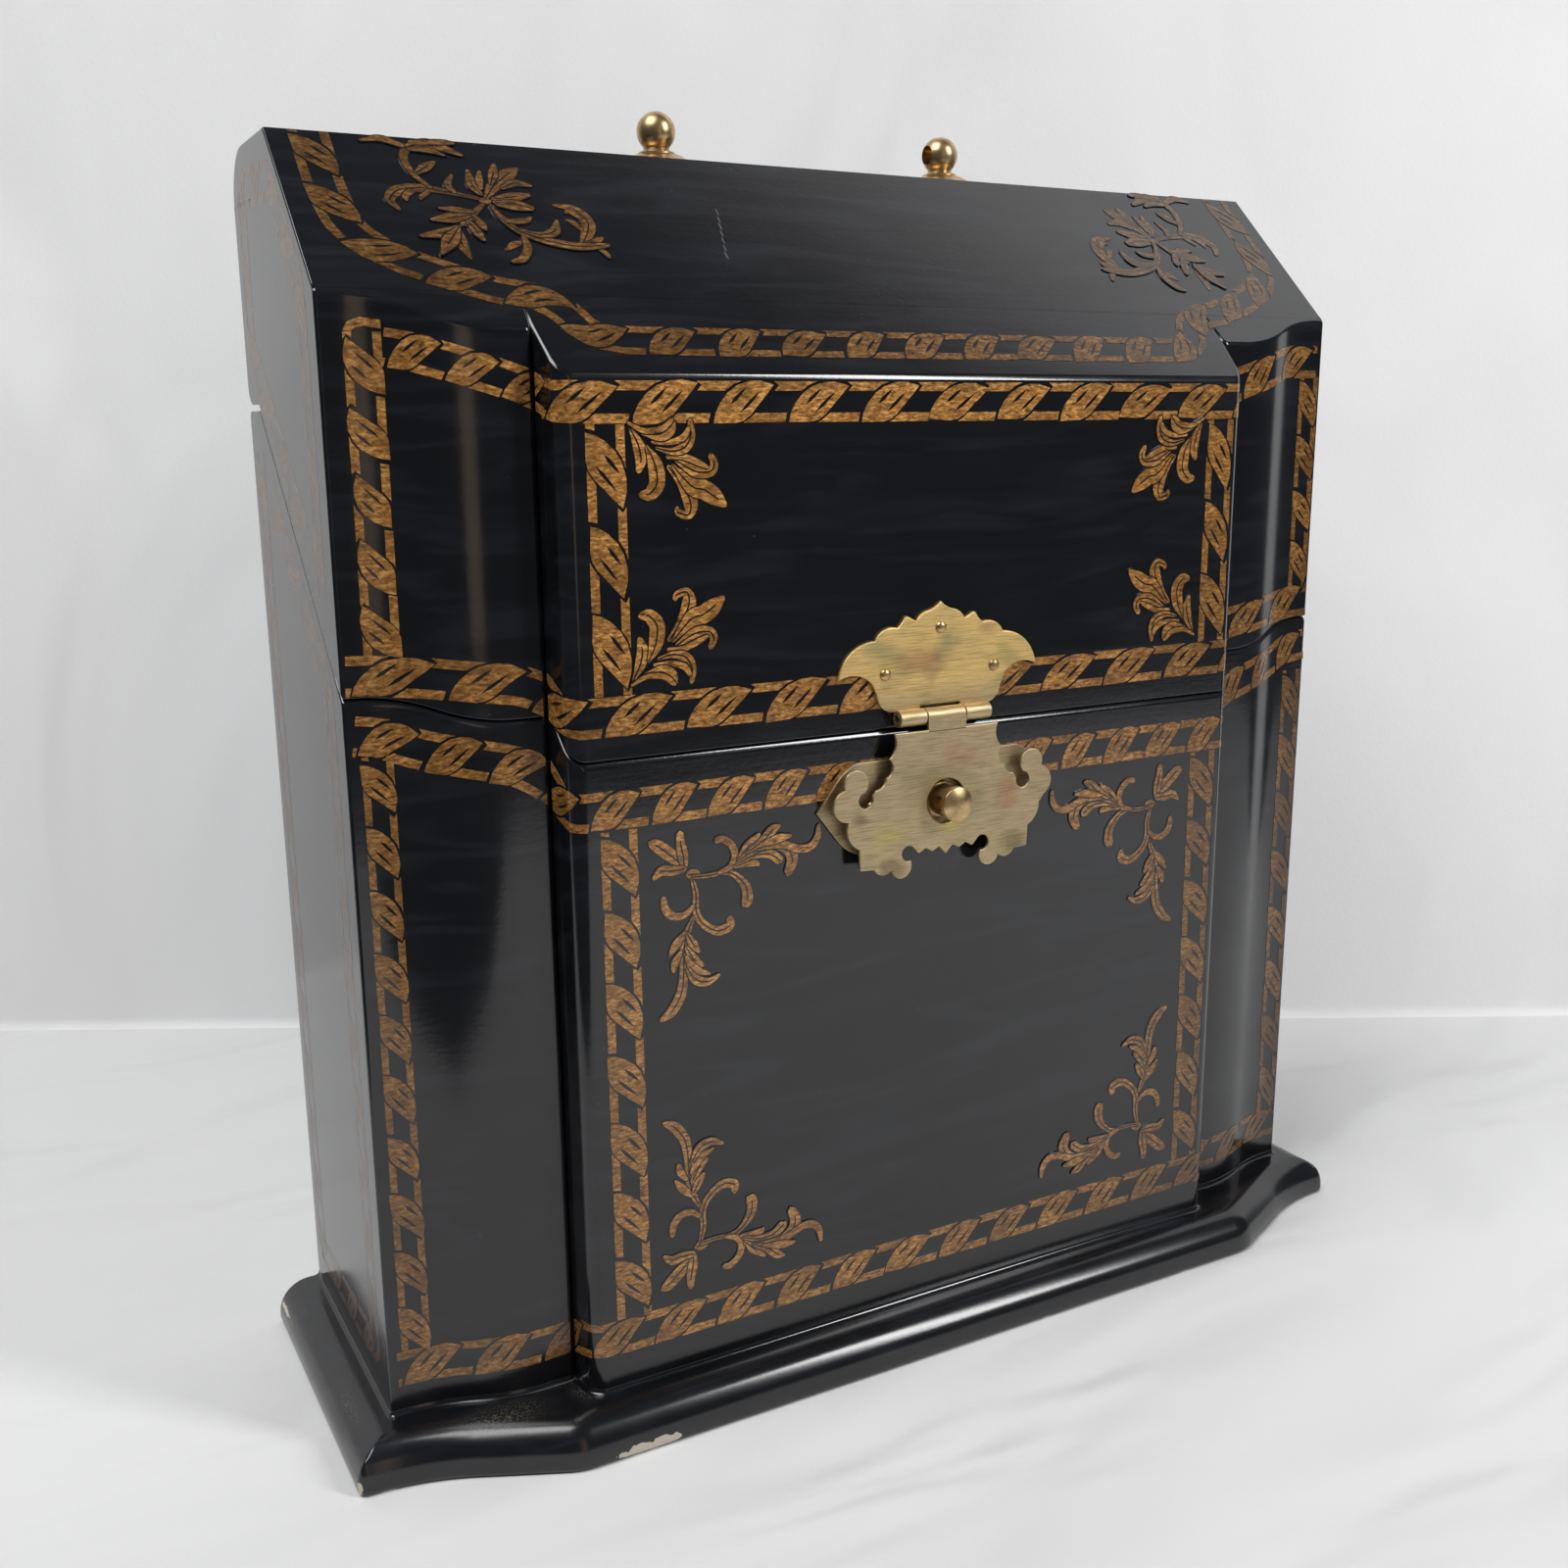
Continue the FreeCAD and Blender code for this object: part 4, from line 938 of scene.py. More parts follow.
def front_surface(case):
    """Turns a place on the unrolled front, (u, z), into a point and the way it faces."""
    block, wing = front_line(case, with_groove=False)
    line = [Vector(point) for point in block + wing]
    reach = [0.0]
    for here, there in zip(line, line[1:]):
        reach.append(reach[-1] + (there - here).length)

    def surface(u, z):
        hand = -1 if u < 0 else 1
        u = min(abs(u), reach[-1] - 1e-6)
        at = next(index for index, value in enumerate(reach[1:]) if value >= u)
        along = (u - reach[at]) / max(reach[at + 1] - reach[at], 1e-9)
        spot = line[at].lerp(line[at + 1], along)
        way = line[at + 1] - line[at]
        if along < 0.5 and at > 0:
            other = line[at] - line[at - 1]
            way = way.normalized().lerp(other.normalized(), 0.5 - along)
        elif along >= 0.5 and at + 2 < len(line):
            other = line[at + 2] - line[at + 1]
            way = way.normalized().lerp(other.normalized(), along - 0.5)
        way.normalize()
        return Vector((spot.x * hand, spot.y, z)), Vector((way.y * hand, -way.x, 0))
    return surface


def slope_surface(case):
    """Turns a place on the slope, (x, distance up the slope), into a point and the way it faces."""
    rise = (case.height - case.slope_foot) / case.slope_run
    cosine = 1 / math.hypot(1, rise)
    facing = Vector((0, -rise * cosine, cosine))

    def surface(x, up):
        y = up * cosine
        return Vector((x, y, slope(case, y))), facing
    return surface


def side_surface(case, hand):
    """Turns a place on a side, (y or -y, z), into a point and the way it faces."""
    def surface(across, z):
        return Vector((case.width / 2 * hand, across * hand, z)), Vector((hand, 0, 0))
    return surface


# One leaf of the rope border, drawn for this distance from the next, along the border and to its
# left. The slits are the dark strokes in the leaf.
LEAF_SPACING = 20.0
LEAF = [(-8.5, -4.85), (-2.2, -4.9), (-0.2, -4.4), (1.8, -3.1), (4.2, -0.6), (6.6, 1.8), (8.5, 3.9),
        (4.6, 4.9), (1.6, 4.85), (-1.8, 3.9), (-4.4, 2.3), (-6.7, -0.2), (-8.0, -2.6)]
LEAF_SLITS = [((-3.9, -0.6), (0.8, 3.4), 0.5), ((-1.3, -2.7), (4.8, 2.6), 0.46)]
# The rail round the upper left corner of the lid, on the unrolled front.
BENT_RAIL = [(-155.5, 266.6), (-153.6, 266.6), (-152.7, 267.3), (-150.9, 267.7), (-147.1, 267.1),
             (-147.1, 269), (-151.6, 269.6), (-154.3, 268.6)]
# The rails from one leaf to the next.
RAILS = [[(-10, 4.8), (-10, 2.6), (-4.8, 2.6), (-2.7, 4.1), (-0.6, 4.85)],
         [(8.1, 2.6), (10, 2.6), (10, 4.8), (7.9, 4.8), (9.2, 3.9)],
         [(10, -4.8), (10, -2.6), (3.0, -2.6), (1.2, -4.0), (-0.2, -4.85)],
         [(-8.7, -2.6), (-10, -2.6), (-10, -4.8), (-9.2, -4.8)]]


def flat_shape(name, outlines):
    """A flat mesh. Each outline is a list of points, followed by its holes."""
    points, faces = [], []
    for outline in outlines:
        loops = [[Vector((x, y, 0)) for x, y in loop] for loop in outline]
        flat = [point for loop in loops for point in loop]
        for face in tessellate_polygon(loops):
            first, second, third = (flat[at] for at in face)
            upward = (second - first).cross(third - first).z > 0
            faces.append([len(points) + at for at in (face if upward else reversed(face))])
        points += flat
    return new_object(name, new_mesh(name, points, faces))


def slit(start, end, width):
    start, end = Vector(start), Vector(end)
    way = (end - start).normalized()
    side = Vector((-way.y, way.x)) * width
    third = (end - start) / 3
    return [tuple(start), tuple(start + third - side), tuple(end - third - side * 0.8), tuple(end),
            tuple(end - third + side * 0.8), tuple(start + third + side)]


def sliced(piece, lines):
    """Splits the flat shape along these upright lines, so that it can bend."""
    shape = bmesh.new()
    shape.from_mesh(piece.data)
    for u in lines:
        bmesh.ops.bisect_plane(shape, geom=shape.verts[:] + shape.edges[:] + shape.faces[:], dist=1e-5,
                               plane_co=(u, 0, 0), plane_no=(1, 0, 0))
    shape.to_mesh(piece.data)
    shape.free()
    return piece


def with_inputs(tree, **kinds):
    """Gives a Geometry Nodes tree its inputs and its one output."""
    for name, kind in (("Geometry", "Geometry"), *kinds.items()):
        tree.interface.new_socket(name, in_out="INPUT", socket_type=f"NodeSocket{kind}")
    tree.interface.new_socket("Geometry", in_out="OUTPUT", socket_type="NodeSocketGeometry")
    return link(tree, "NodeGroupInput").outputs


def shape_of(tree, given):
    return link(tree, "GeometryNodeObjectInfo", {"Object": given}).outputs["Geometry"]


def placed(tree, points, shape, **more):
    given = {"Points": points, "Instance": shape, **more}
    return link(tree, "GeometryNodeInstanceOnPoints", given).outputs["Instances"]


def painted_out(tree, geometry, material):
    """Ends the tree in this geometry, of this material."""
    painted = link(tree, "GeometryNodeSetMaterial", {"Geometry": geometry, "Material": material})
    tree.links.new(painted.outputs[0], link(tree, "NodeGroupOutput").inputs[0])
    return tree


def rope_border_tree():
    """Leaves and rails in a row along a path: they are laid out straight, then bent onto it."""
    tree = bpy.data.node_groups.new("rope_border", "GeometryNodeTree")
    given = with_inputs(tree, Path="Object", Leaf="Object", Rails="Object", Spacing="Float", Drawn="Float",
                        Width="Float", Hand="Float", Seed="Int", Paint="Material")
    path = shape_of(tree, given["Path"])

    def triple(**axes):
        return link(tree, "ShaderNodeCombineXYZ", axes).outputs[0]

    def random(low, high, offset):
        seed = maths(tree, "ADD", given["Seed"], offset)
        return link(tree, "FunctionNodeRandomValue", {2: low, 3: high, "Seed": seed},
                    data_type="FLOAT").outputs[1]

    long = link(tree, "GeometryNodeCurveLength", {"Curve": path}).outputs["Length"]
    count = maths(tree, "MAXIMUM", maths(tree, "ROUND", maths(tree, "DIVIDE", long, given["Spacing"])), 1)
    pitch = maths(tree, "DIVIDE", long, count)
    start = triple(X=maths(tree, "MULTIPLY", pitch, 0.5))
    row = link(tree, "GeometryNodeMeshLine", {"Count": count, "Offset": triple(X=pitch),
                                              "Start Location": start}, mode="OFFSET").outputs["Mesh"]
    stretch = maths(tree, "DIVIDE", pitch, given["Drawn"])
    less, more = maths(tree, "SUBTRACT", 1, given["Hand"]), 1.03
    leaf_scale = triple(X=maths(tree, "MULTIPLY", stretch, random(less, more, 1)),
                        Y=maths(tree, "MULTIPLY", given["Width"], random(less, more, 2)), Z=1)
    tilt = 0.06
    leaves = placed(tree, row, shape_of(tree, given["Leaf"]), Scale=leaf_scale,
                    Rotation=triple(Z=random(-tilt, tilt, 3)))
    rails = placed(tree, row, shape_of(tree, given["Rails"]),
                   Scale=triple(X=stretch, Y=given["Width"], Z=1))
    both = link(tree, "GeometryNodeJoinGeometry")
    for part in (rails, leaves):
        tree.links.new(part, both.inputs[0])
    toned = link(tree, "GeometryNodeStoreNamedAttribute",
                 {"Geometry": both.outputs[0], "Name": "leaf_tone", "Value": random(0, 1, 4)},
                 data_type="FLOAT", domain="INSTANCE").outputs[0]
    real = link(tree, "GeometryNodeRealizeInstances", {"Geometry": toned}).outputs[0]
    place = parts(tree, link(tree, "GeometryNodeInputPosition").outputs[0])
    on_path = link(tree, "GeometryNodeSampleCurve", {"Curves": path, "Length": place["X"]},
                   mode="LENGTH", use_all_curves=True).outputs
    left = vectors(tree, "CROSS_PRODUCT", (0, 0, 1), on_path["Tangent"])
    across = link(tree, "ShaderNodeVectorMath", {0: left, "Scale": place["Y"]},
                  operation="SCALE").outputs[0]
    bent = link(tree, "GeometryNodeSetPosition",
                {"Geometry": real, "Position": vectors(tree, "ADD", on_path["Position"], across)})
    return painted_out(tree, bent.outputs[0], given["Paint"])


def drawn_path(points, rounding):
    """A flat path with its corners rounded."""
    line = [Vector(point) for point in points]
    smooth_line = [line[0]]
    for before, here, after in zip(line, line[1:], line[2:]):
        back, on = before - here, after - here
        cut = min(rounding, back.length * 0.45, on.length * 0.45)
        start, end = here + back.normalized() * cut, here + on.normalized() * cut
        for at in range(9):
            share_done = at / 8
            smooth_line.append(start.lerp(here, share_done).lerp(here.lerp(end, share_done), share_done))
    smooth_line.append(line[-1])
    curve = bpy.data.curves.new("path", "CURVE")
    curve.dimensions = "3D"
    add_line(curve, smooth_line)
    return new_object("path", curve)


def grown(name, points, tree, **values):
    """A mesh that this Geometry Nodes tree makes from these points."""
    piece = new_object(name, new_mesh(name, points))
    nodes = piece.modifiers.new(tree.name, "NODES")
    nodes.node_group = tree
    for item in tree.interface.items_tree:
        if item.item_type == "SOCKET" and item.in_out == "INPUT" and item.name in values:
            nodes[item.identifier] = values[item.name]
    return plain_mesh(piece)


def rope_border(tree, leaf, rails, points, pitch, paint, seed, rounding=6, width=1.0):
    """One border on its flat sheet. Its width is a share of the usual one."""
    path = drawn_path(points, rounding)
    border = grown("border", [], tree, Path=path, Leaf=leaf, Rails=rails, Spacing=float(pitch),
                   Drawn=LEAF_SPACING, Width=width, Hand=paint.spread, Seed=seed,
                   Paint=finish("antique_gold_paint"))
    drop(path)
    return border


def painted_piece(name, flats, surface, paint, finish_name, cuts=(), gaps=(), proud=1.0):
    """Flat shapes laid on the box as thin solids. A flat shape's own height lifts it a little."""
    points, faces, tones, plain_tone = [], [], [], 0.3
    for flat in flats:
        if cuts:
            sliced(flat, cuts)
        mesh = flat.data
        tone = mesh.attributes.get("leaf_tone")
        keep = []
        for face in mesh.polygons:
            middle = sum(mesh.vertices[at].co.x for at in face.vertices) / len(face.vertices)
            if not any(low < abs(middle) < high for low, high in gaps):
                keep.append(tuple(face.vertices))
        used = sorted({at for face in keep for at in face})
        fresh = {at: number for number, at in enumerate(used)}
        base = len(points)
        count = len(used)
        for outside in (True, False):
            for at in used:
                spot = mesh.vertices[at].co
                place, facing = surface(spot.x, spot.y)
                lift = paint.thickness * proud + spot.z if outside else -paint.sink
                points.append(place + facing * lift)
                tones.append(tone.data[at].value if tone else plain_tone)
        edges = {}
        for face in keep:
            face = [fresh[at] for at in face]
            faces.append([base + at for at in face])
            faces.append([base + count + at for at in reversed(face)])
            for here, there in zip(face, face[1:] + face[:1]):
                edges[(here, there)] = edges.get((here, there), 0) + 1
        for here, there in edges:
            if (there, here) not in edges:
                faces.append([base + here, base + count + here, base + count + there, base + there])
        drop(flat)
    piece = new_piece(name, points, faces, finish(finish_name))
    tone = piece.data.attributes.new("leaf_tone", "FLOAT", "POINT")
    tone.data.foreach_set("value", tones)
    return piece


class LETTERBOX_OT_borders(bpy.types.Operator):
    """Paints the rope borders on the front, the slope and the sides"""
    bl_idname = "letter_box.borders"
    bl_label = "Painted borders"

    def execute(self, context):
        case, paint = sizes(settings().case), sizes(settings().paint)
        lid_pitch, body_pitch, upright = paint.lid_pitch, paint.body_pitch, paint.upright_pitch
        tree = rope_border_tree()
        leaf = sliced(flat_shape("leaf", [[LEAF] + [slit(*stroke) for stroke in LEAF_SLITS]]),
                      [-6, -3, 0, 3, 6])
        rails = sliced(flat_shape("rails", [[rail] for rail in RAILS]), [-8, -6, 6, 8])
        # Rows on the unrolled front: a path, the distance from leaf to leaf and, where it isn't the
        # usual one, the width.
        lid_front = [
            ([(-147, 263.2), (-141, 262.3), (-121, 256.5), (-113, 253.8), (-108.3, 252)], 13, 0.88),
            ([(-108.3, 252), (-106, 251), (106, 251), (113, 253.8), (121, 256.5), (145, 263),
              (159, 263)], lid_pitch),
            ([(-151.3, 192.5), (-151.3, 266.5)], 15.3, 0.87),
            ([(156, 258.5), (156, 194)], 16.1, 0.85),
            ([(-160, 190), (-150, 189.5), (-140, 188.5), (-120, 186), (-113, 183), (-106, 178),
              (106, 178), (113, 183), (120, 186), (140, 188.5), (150, 189.5), (160.5, 190)], lid_pitch),
            ([(-92.7, 246), (-92.7, 183)], upright), ([(95.5, 246), (95.5, 183)], upright)]
        body_front = [
            ([(-159, 176), (-152, 175), (-145, 172), (-121, 166.5), (-113, 161), (-106, 155.2),
              (106, 155.2), (113, 161), (121, 166.5), (145, 172), (152, 175), (160.5, 176)], body_pitch),
            ([(-159, 12.5), (-113, 12.5), (-106, 15), (106, 15), (113, 12.5), (160.5, 12.5)], 17.5),
            ([(-92.5, 150), (-92.5, 20)], upright), ([(94.5, 150), (94.5, 20)], upright),
            ([(-154, 171), (-154, 15)], 15.6, 0.77), ([(156, 168), (156, 16)], 19, 0.85)]
        slope_line = [(-142, 81), (-142.3, 62), (-141, 47), (-134, 38), (-122, 32), (-110, 26.7),
                      (-101, 25.5), (-95.5, 20.5), (-92.5, 13.5), (-86, 11.2), (-78, 11)]
        slope_line += [(-x, up) for x, up in reversed(slope_line)]
        # Where the sheet is sliced so that it can bend round the cheek, the groove and the ogee. Nothing
        # is painted inside the groove.
        groove = (112.99, 114.3)
        bends = [hand * (99 + 0.8 * at) for at in range(14) for hand in (-1, 1)]
        bends += [hand * (groove[0] + 1.35 * at) for at in range(37) for hand in (-1, 1)]
        bends += [hand * groove[1] for hand in (-1, 1)]
        seed, seed_step = paint.seed, 10
        for name, body, rows in (("lid_front_borders", "lid", lid_front),
                                 ("body_front_borders", "body", body_front)):
            flats = []
            for points, pitch, *width in rows:
                seed += seed_step
                flats.append(rope_border(tree, leaf, rails, points, pitch, paint, seed, 6, *width))
            if body == "lid":
                flats.append(flat_shape("bent_rail", [[BENT_RAIL]]))
            piece = painted_piece(name, flats, front_surface(case), paint, "antique_gold_paint", bends,
                                  [groove])
            settle(piece, body, slot="gold_paint")
        flat = rope_border(tree, leaf, rails, slope_line, paint.slope_pitch, paint, seed + seed_step, 8)
        settle(painted_piece("lid_slope_border", [flat], slope_surface(case), paint,
                             "rubbed_gold_paint"), "lid", slot="gold_paint")
        # Each loop is open at its sharp corner, where its two ends meet.
        body_loop = [(78.4, 227.8), (30.5, 185.5), (30.5, 12), (90, 12), (90, 240)]
        lid_loop = [(42.3, 220.3), (90, 266), (88, 304), (56, 303), (30.5, 277), (30.5, 207)]
        for name, hand in HANDS:
            for body, loop in (("body", body_loop), ("lid", lid_loop)):
                seed += seed_step
                line = [(y * hand, z) for y, z in loop]
                flat = rope_border(tree, leaf, rails, line, 18, paint, seed, 5)
                piece = painted_piece(f"{body}_{name}_side_border", [flat], side_surface(case, hand),
                                      paint, "faded_gold_paint", proud=0.2)
                settle(piece, body, slot="gold_paint")
        drop(leaf, rails)
        return {"FINISHED"}


# Brush strokes of the corner sprays: points with the half width of the brush there. They are drawn
# for one corner on its flat sheet and mirrored to the others.
LID_SPRAY = [
    [(-87.6, 186.2, .2), (-85.6, 190, 1.4), (-84.9, 193.2, 1.5), (-85.6, 196.2, .7)],
    [(-83.5, 190.5, .3), (-81.5, 194.5, 1.8), (-81, 199, 2), (-83, 201.5, 1.6), (-85.2, 201.6, .8)],
    [(-78, 195.3, .5), (-75, 199, 1), (-72.5, 203.5, 1.9), (-73, 206.6, 1.1), (-75.8, 206, .8),
     (-76, 205, .6)],
    [(-77, 195, .3), (-72, 200, 2), (-69, 200.8, 2.3), (-66, 202.6, 2.1), (-63.3, 204.7, .7)],
    [(-76, 194, .4), (-71, 196.5, 1.4), (-67, 196.6, 1.2), (-66, 194.8, 1), (-67, 192.8, .7)],
    [(-78.3, 193, .5), (-74, 193.1, .7), (-70, 194.6, .7), (-67.6, 195.7, .3)],
    [(-81, 191, .3), (-77, 191.8, .8), (-73.5, 190.8, 1.3), (-72, 188, 1.1), (-72.2, 184.6, .5)],
    [(-82, 189.6, .4), (-77.5, 189.7, .6), (-74, 188.6, .8), (-72.6, 186.5, .5)],
    [(-84.5, 187.6, .3), (-80, 188.7, .7), (-77.2, 187.2, 1), (-76.5, 184.8, .5)],
    [(-88, 185.2, .3), (-84, 187, .6), (-79.5, 186.6, .7), (-77.4, 185, .6), (-76.6, 184.4, .3)]]
BODY_SPRAY = [
    [(-74.3, 136.3, .9), (-73, 136.3, 1.3), (-71.7, 136.3, .9)],
    [(-75.5, 138.6, .4), (-78.5, 141.5, 1.6), (-82.5, 144.8, 1.6), (-84.3, 145.8, .9)],
    [(-75.3, 138.3, .8), (-75.6, 141.5, 1.4), (-76.2, 144.5, 1.2), (-76.3, 147.3, .9)],
    [(-75.3, 138, .8), (-78.5, 137.9, 1.2), (-81.5, 138.3, 1.2), (-83.7, 136.6, .5)],
    [(-73, 135.6, .5), (-69, 135.3, .5), (-64, 135.5, .6), (-61, 134.2, .8), (-58.3, 131, 1.3),
     (-57.8, 127.5, 1.5), (-58.5, 126.5, 1.5)],
    [(-66, 135.6, .4), (-62.5, 136.8, .8), (-61.2, 139.5, .9), (-62.2, 142.5, .9), (-64.8, 144.3, .9),
     (-66.5, 144, .7)],
    [(-61.5, 136.6, .4), (-58, 137, .9), (-55, 136.6, .7), (-54.6, 136, .3)],
    [(-61, 137.2, .3), (-56, 138.8, .9), (-51.5, 138.6, 1.1), (-48.5, 136.6, 1.2), (-48, 136, .4)],
    [(-56, 140, .5), (-50, 140.6, .8), (-46, 139, 1.4), (-44.7, 136.2, 1.6), (-46, 132.8, 1.1)],
    [(-56, 140.4, .4), (-48, 140.6, .9), (-43, 138.8, 1), (-39.5, 138.8, 1), (-37.3, 141, .9),
     (-36.8, 144.3, .5)],
    [(-60.5, 138.4, .3), (-57.5, 141.3, 1.3), (-54.3, 144.2, .4)],
    [(-58, 139.8, .3), (-53, 142.5, 1.2), (-50.5, 144.8, 1.2), (-48.3, 145.7, .4)],
    [(-55, 141, .3), (-49, 142.3, 1.1), (-45, 142.6, .3)],
    [(-73.2, 135, .5), (-72.3, 131, .8), (-72.3, 126.5, .9), (-70.5, 123, 1), (-66.5, 120.4, 1.2),
     (-63, 121.2, 1.3), (-62.9, 123.3, .9)],
    [(-73, 128, .5), (-75.5, 126.1, .8), (-78.5, 126.1, 1), (-80.7, 128.2, 1), (-81.2, 131.3, .7)],
    [(-73.2, 125, .4), (-74.8, 121.5, .9), (-76, 117, 1), (-76.2, 111, 1.1), (-77, 105.5, 1.4),
     (-79.7, 101.3, 1.4), (-82.7, 99.5, .6)],
    [(-75.3, 121.5, .5), (-78, 118.8, 1.1), (-80, 116, .3)],
    [(-76.8, 116.5, .5), (-78.5, 114, 1), (-79, 111.8, .5)],
    [(-75, 121, .5), (-73.4, 118, 1.2), (-71.8, 115.8, .3)],
    [(-75.3, 117.5, .5), (-73.3, 114, 1.2), (-70.7, 112, .4)],
    [(-75.4, 115, .5), (-73.2, 111.5, 1.1), (-69, 109.5, .3)],
    [(-75.2, 112, .5), (-73, 108.6, 1.2), (-69.5, 107.4, 1), (-66.2, 108.7, .4)]]
SLOPE_SPRAY = [
    [(-105.6, 58.8, .8), (-104.5, 58.8, 1.1), (-103.4, 58.8, .8)],
    [(-104, 60, .5), (-100.5, 65, 1.7), (-96, 69.5, 1.9), (-92.8, 72, .4)],
    [(-101.5, 65, .4), (-99.8, 69, 1.2), (-98.5, 73, .5)],
    [(-99, 64, .5), (-95, 66.3, 1.2), (-91, 65.6, .4)],
    [(-105, 61, .5), (-106.3, 64.5, 1.3), (-106, 70, .4)],
    [(-104.5, 63, .4), (-104, 66.5, .9), (-103, 70, .3)],
    [(-102.5, 59.5, .5), (-97, 60.8, 1.5), (-92.5, 62, .5)],
    [(-102.5, 58.3, .5), (-97, 58.2, 1.3), (-93, 57, .5)],
    [(-102, 57.3, .3), (-97.5, 56.6, .8), (-93.2, 56.3, .3)],
    [(-103.5, 57, .5), (-102.5, 53, .7), (-99, 48, .9), (-93, 45, 1.2), (-86, 43.5, 1.3), (-80, 44, 1),
     (-77, 44.5, .4)],
    [(-103.6, 56, .4), (-101, 51.8, .7), (-96.5, 52, .9), (-94.6, 53.3, .3)],
    [(-99.5, 48.5, .4), (-94, 47, .9), (-90, 48.5, 1.3), (-88.2, 52.6, .4)],
    [(-98.6, 46, .5), (-98.6, 42, 1), (-101, 38, 1), (-103.8, 36.8, .5)],
    [(-98.6, 44.5, .3), (-101.5, 43.3, 1), (-103.8, 41.4, .4)],
    [(-84, 44.5, .6), (-81.5, 48.5, 1.6), (-80, 53, 1.8), (-82, 57.5, 1.4), (-87.3, 58.8, .4)],
    [(-82.5, 50, .6), (-84, 52.5, .8), (-85.2, 53.4, .3)],
    [(-81.5, 54, .5), (-83.5, 56.5, .8), (-85, 56, .3)],
    [(-82, 45, .5), (-79, 46.5, .8), (-77.8, 47.3, .3)],
    [(-80.5, 43.5, .5), (-78.8, 41.5, .7), (-78.2, 39.8, .3)],
    [(-105.5, 57.3, .4), (-108.5, 54, .8), (-112.5, 49.5, .8)],
    [(-108.5, 54.3, .5), (-113, 54.8, .9), (-117, 55, .3)],
    [(-109.5, 53, .4), (-114.5, 51.7, 1.7), (-119.8, 50.6, .4)],
    [(-109, 53, .5), (-107.8, 49.5, 1), (-107.3, 47.8, .3)],
    [(-111, 51, .5), (-109.8, 47, 1.2), (-108.8, 44, .4)],
    [(-114, 48.5, .4), (-118, 46, 1.4), (-123.8, 44.6, .5)],
    [(-114, 48, .5), (-117, 43.5, 1.9), (-120.5, 38.4, .3)],
    [(-113.8, 48, .5), (-114.6, 43.5, 1.6), (-113.7, 37.5, .3)],
    [(-106, 59.5, .5), (-112, 61, .7), (-119, 62.2, 1.3), (-125, 61, 1.6), (-128, 57.5, 1.2),
     (-126.5, 53.8, .4)],
    [(-122, 61, .8), (-124, 58.8, .8), (-124, 57.3, .3)],
    [(-118, 61, .6), (-120, 59, .6), (-120.5, 58, .3)],
    [(-111.5, 61, .5), (-112.5, 64, .9), (-110.5, 67.8, .3)],
    [(-117, 62.5, .5), (-119.8, 66.5, .7), (-121, 71, .9), (-120.5, 75, 1), (-118, 78, 1)],
    [(-119.3, 67.5, .5), (-116.5, 70, 1.3), (-113.8, 72.2, .5)],
    [(-120, 77.5, .8), (-125, 79.8, 1.1), (-130.3, 78.6, .3)],
    [(-119, 77.5, .9), (-113, 79, 1.8), (-106, 75.5, .4)],
    [(-119, 76.5, .6), (-114, 76.5, .9), (-110.5, 75, .3)],
    [(-118, 79, .8), (-110, 80.0, .9), (-107, 79.9, .4)]]


# The layers of a stroke from below, from each to the next, and the number of strokes that lie over
# each other before the next one starts at the bottom again.
LAYERS = ("edge", "paint", "vein")
LAYER_LIFT = 0.008
STACK = 13
# How far the dark edge stands out round a stroke, from which half width a stroke has a vein, and the
# vein's half width at its start, along it and at its end.
DARK_EDGE = 0.34
VEINED_FROM = 1.15
VEIN = (0.16, 0.2, 0.08)
# The corners that a spray is painted in: the side that a place across keeps or changes to and how far
# it shifts, then the same for its height.
LID_CORNERS = [(1, 0, 1, 0), (-1, 0.8, 1, 0), (1, 1, -1, 431.5), (-1, 0.8, -1, 431.5)]
BODY_CORNERS = [(1, 0, 1, 0), (-1, 2, 1, 0), (1, 0, -1, 171), (-1, 2, -1, 171)]
SLOPE_CORNERS = [(1, 0, 1, 0), (-1, 0, 1, 0)]


def brushed(stroke, least, along=0.9):
    """A stroke as a smooth ribbon: its left and right edges, with rounded ends."""
    marks = [Vector(mark) for mark in stroke]
    marks = [marks[0] * 2 - marks[1]] + marks + [marks[-1] * 2 - marks[-2]]
    line = []
    for before, here, there, after in zip(marks, marks[1:], marks[2:], marks[3:]):
        steps = max(2, math.ceil((there.xy - here.xy).length / along))
        for at in range(steps):
            t = at / steps
            line.append((here * 2 + (there - before) * t
                         + (before * 2 - here * 5 + there * 4 - after) * t * t
                         + (here * 3 - before - there * 3 + after) * t ** 3) / 2)
    line.append(marks[-2])
    left, right = [], []
    for at, mark in enumerate(line):
        way = (line[min(at + 1, len(line) - 1)] - line[max(at - 1, 0)]).xy.normalized()
        side = Vector((-way.y, way.x)) * max(mark.z, least)
        left.append(mark.xy + side)
        right.append(mark.xy - side)
    first, last = (line[0] - line[1]).xy.normalized(), (line[-1] - line[-2]).xy.normalized()
    nose = line[0].xy + first * max(line[0].z, least) * 0.8
    tail = line[-1].xy + last * max(line[-1].z, least) * 0.8
    return left, right, nose, tail


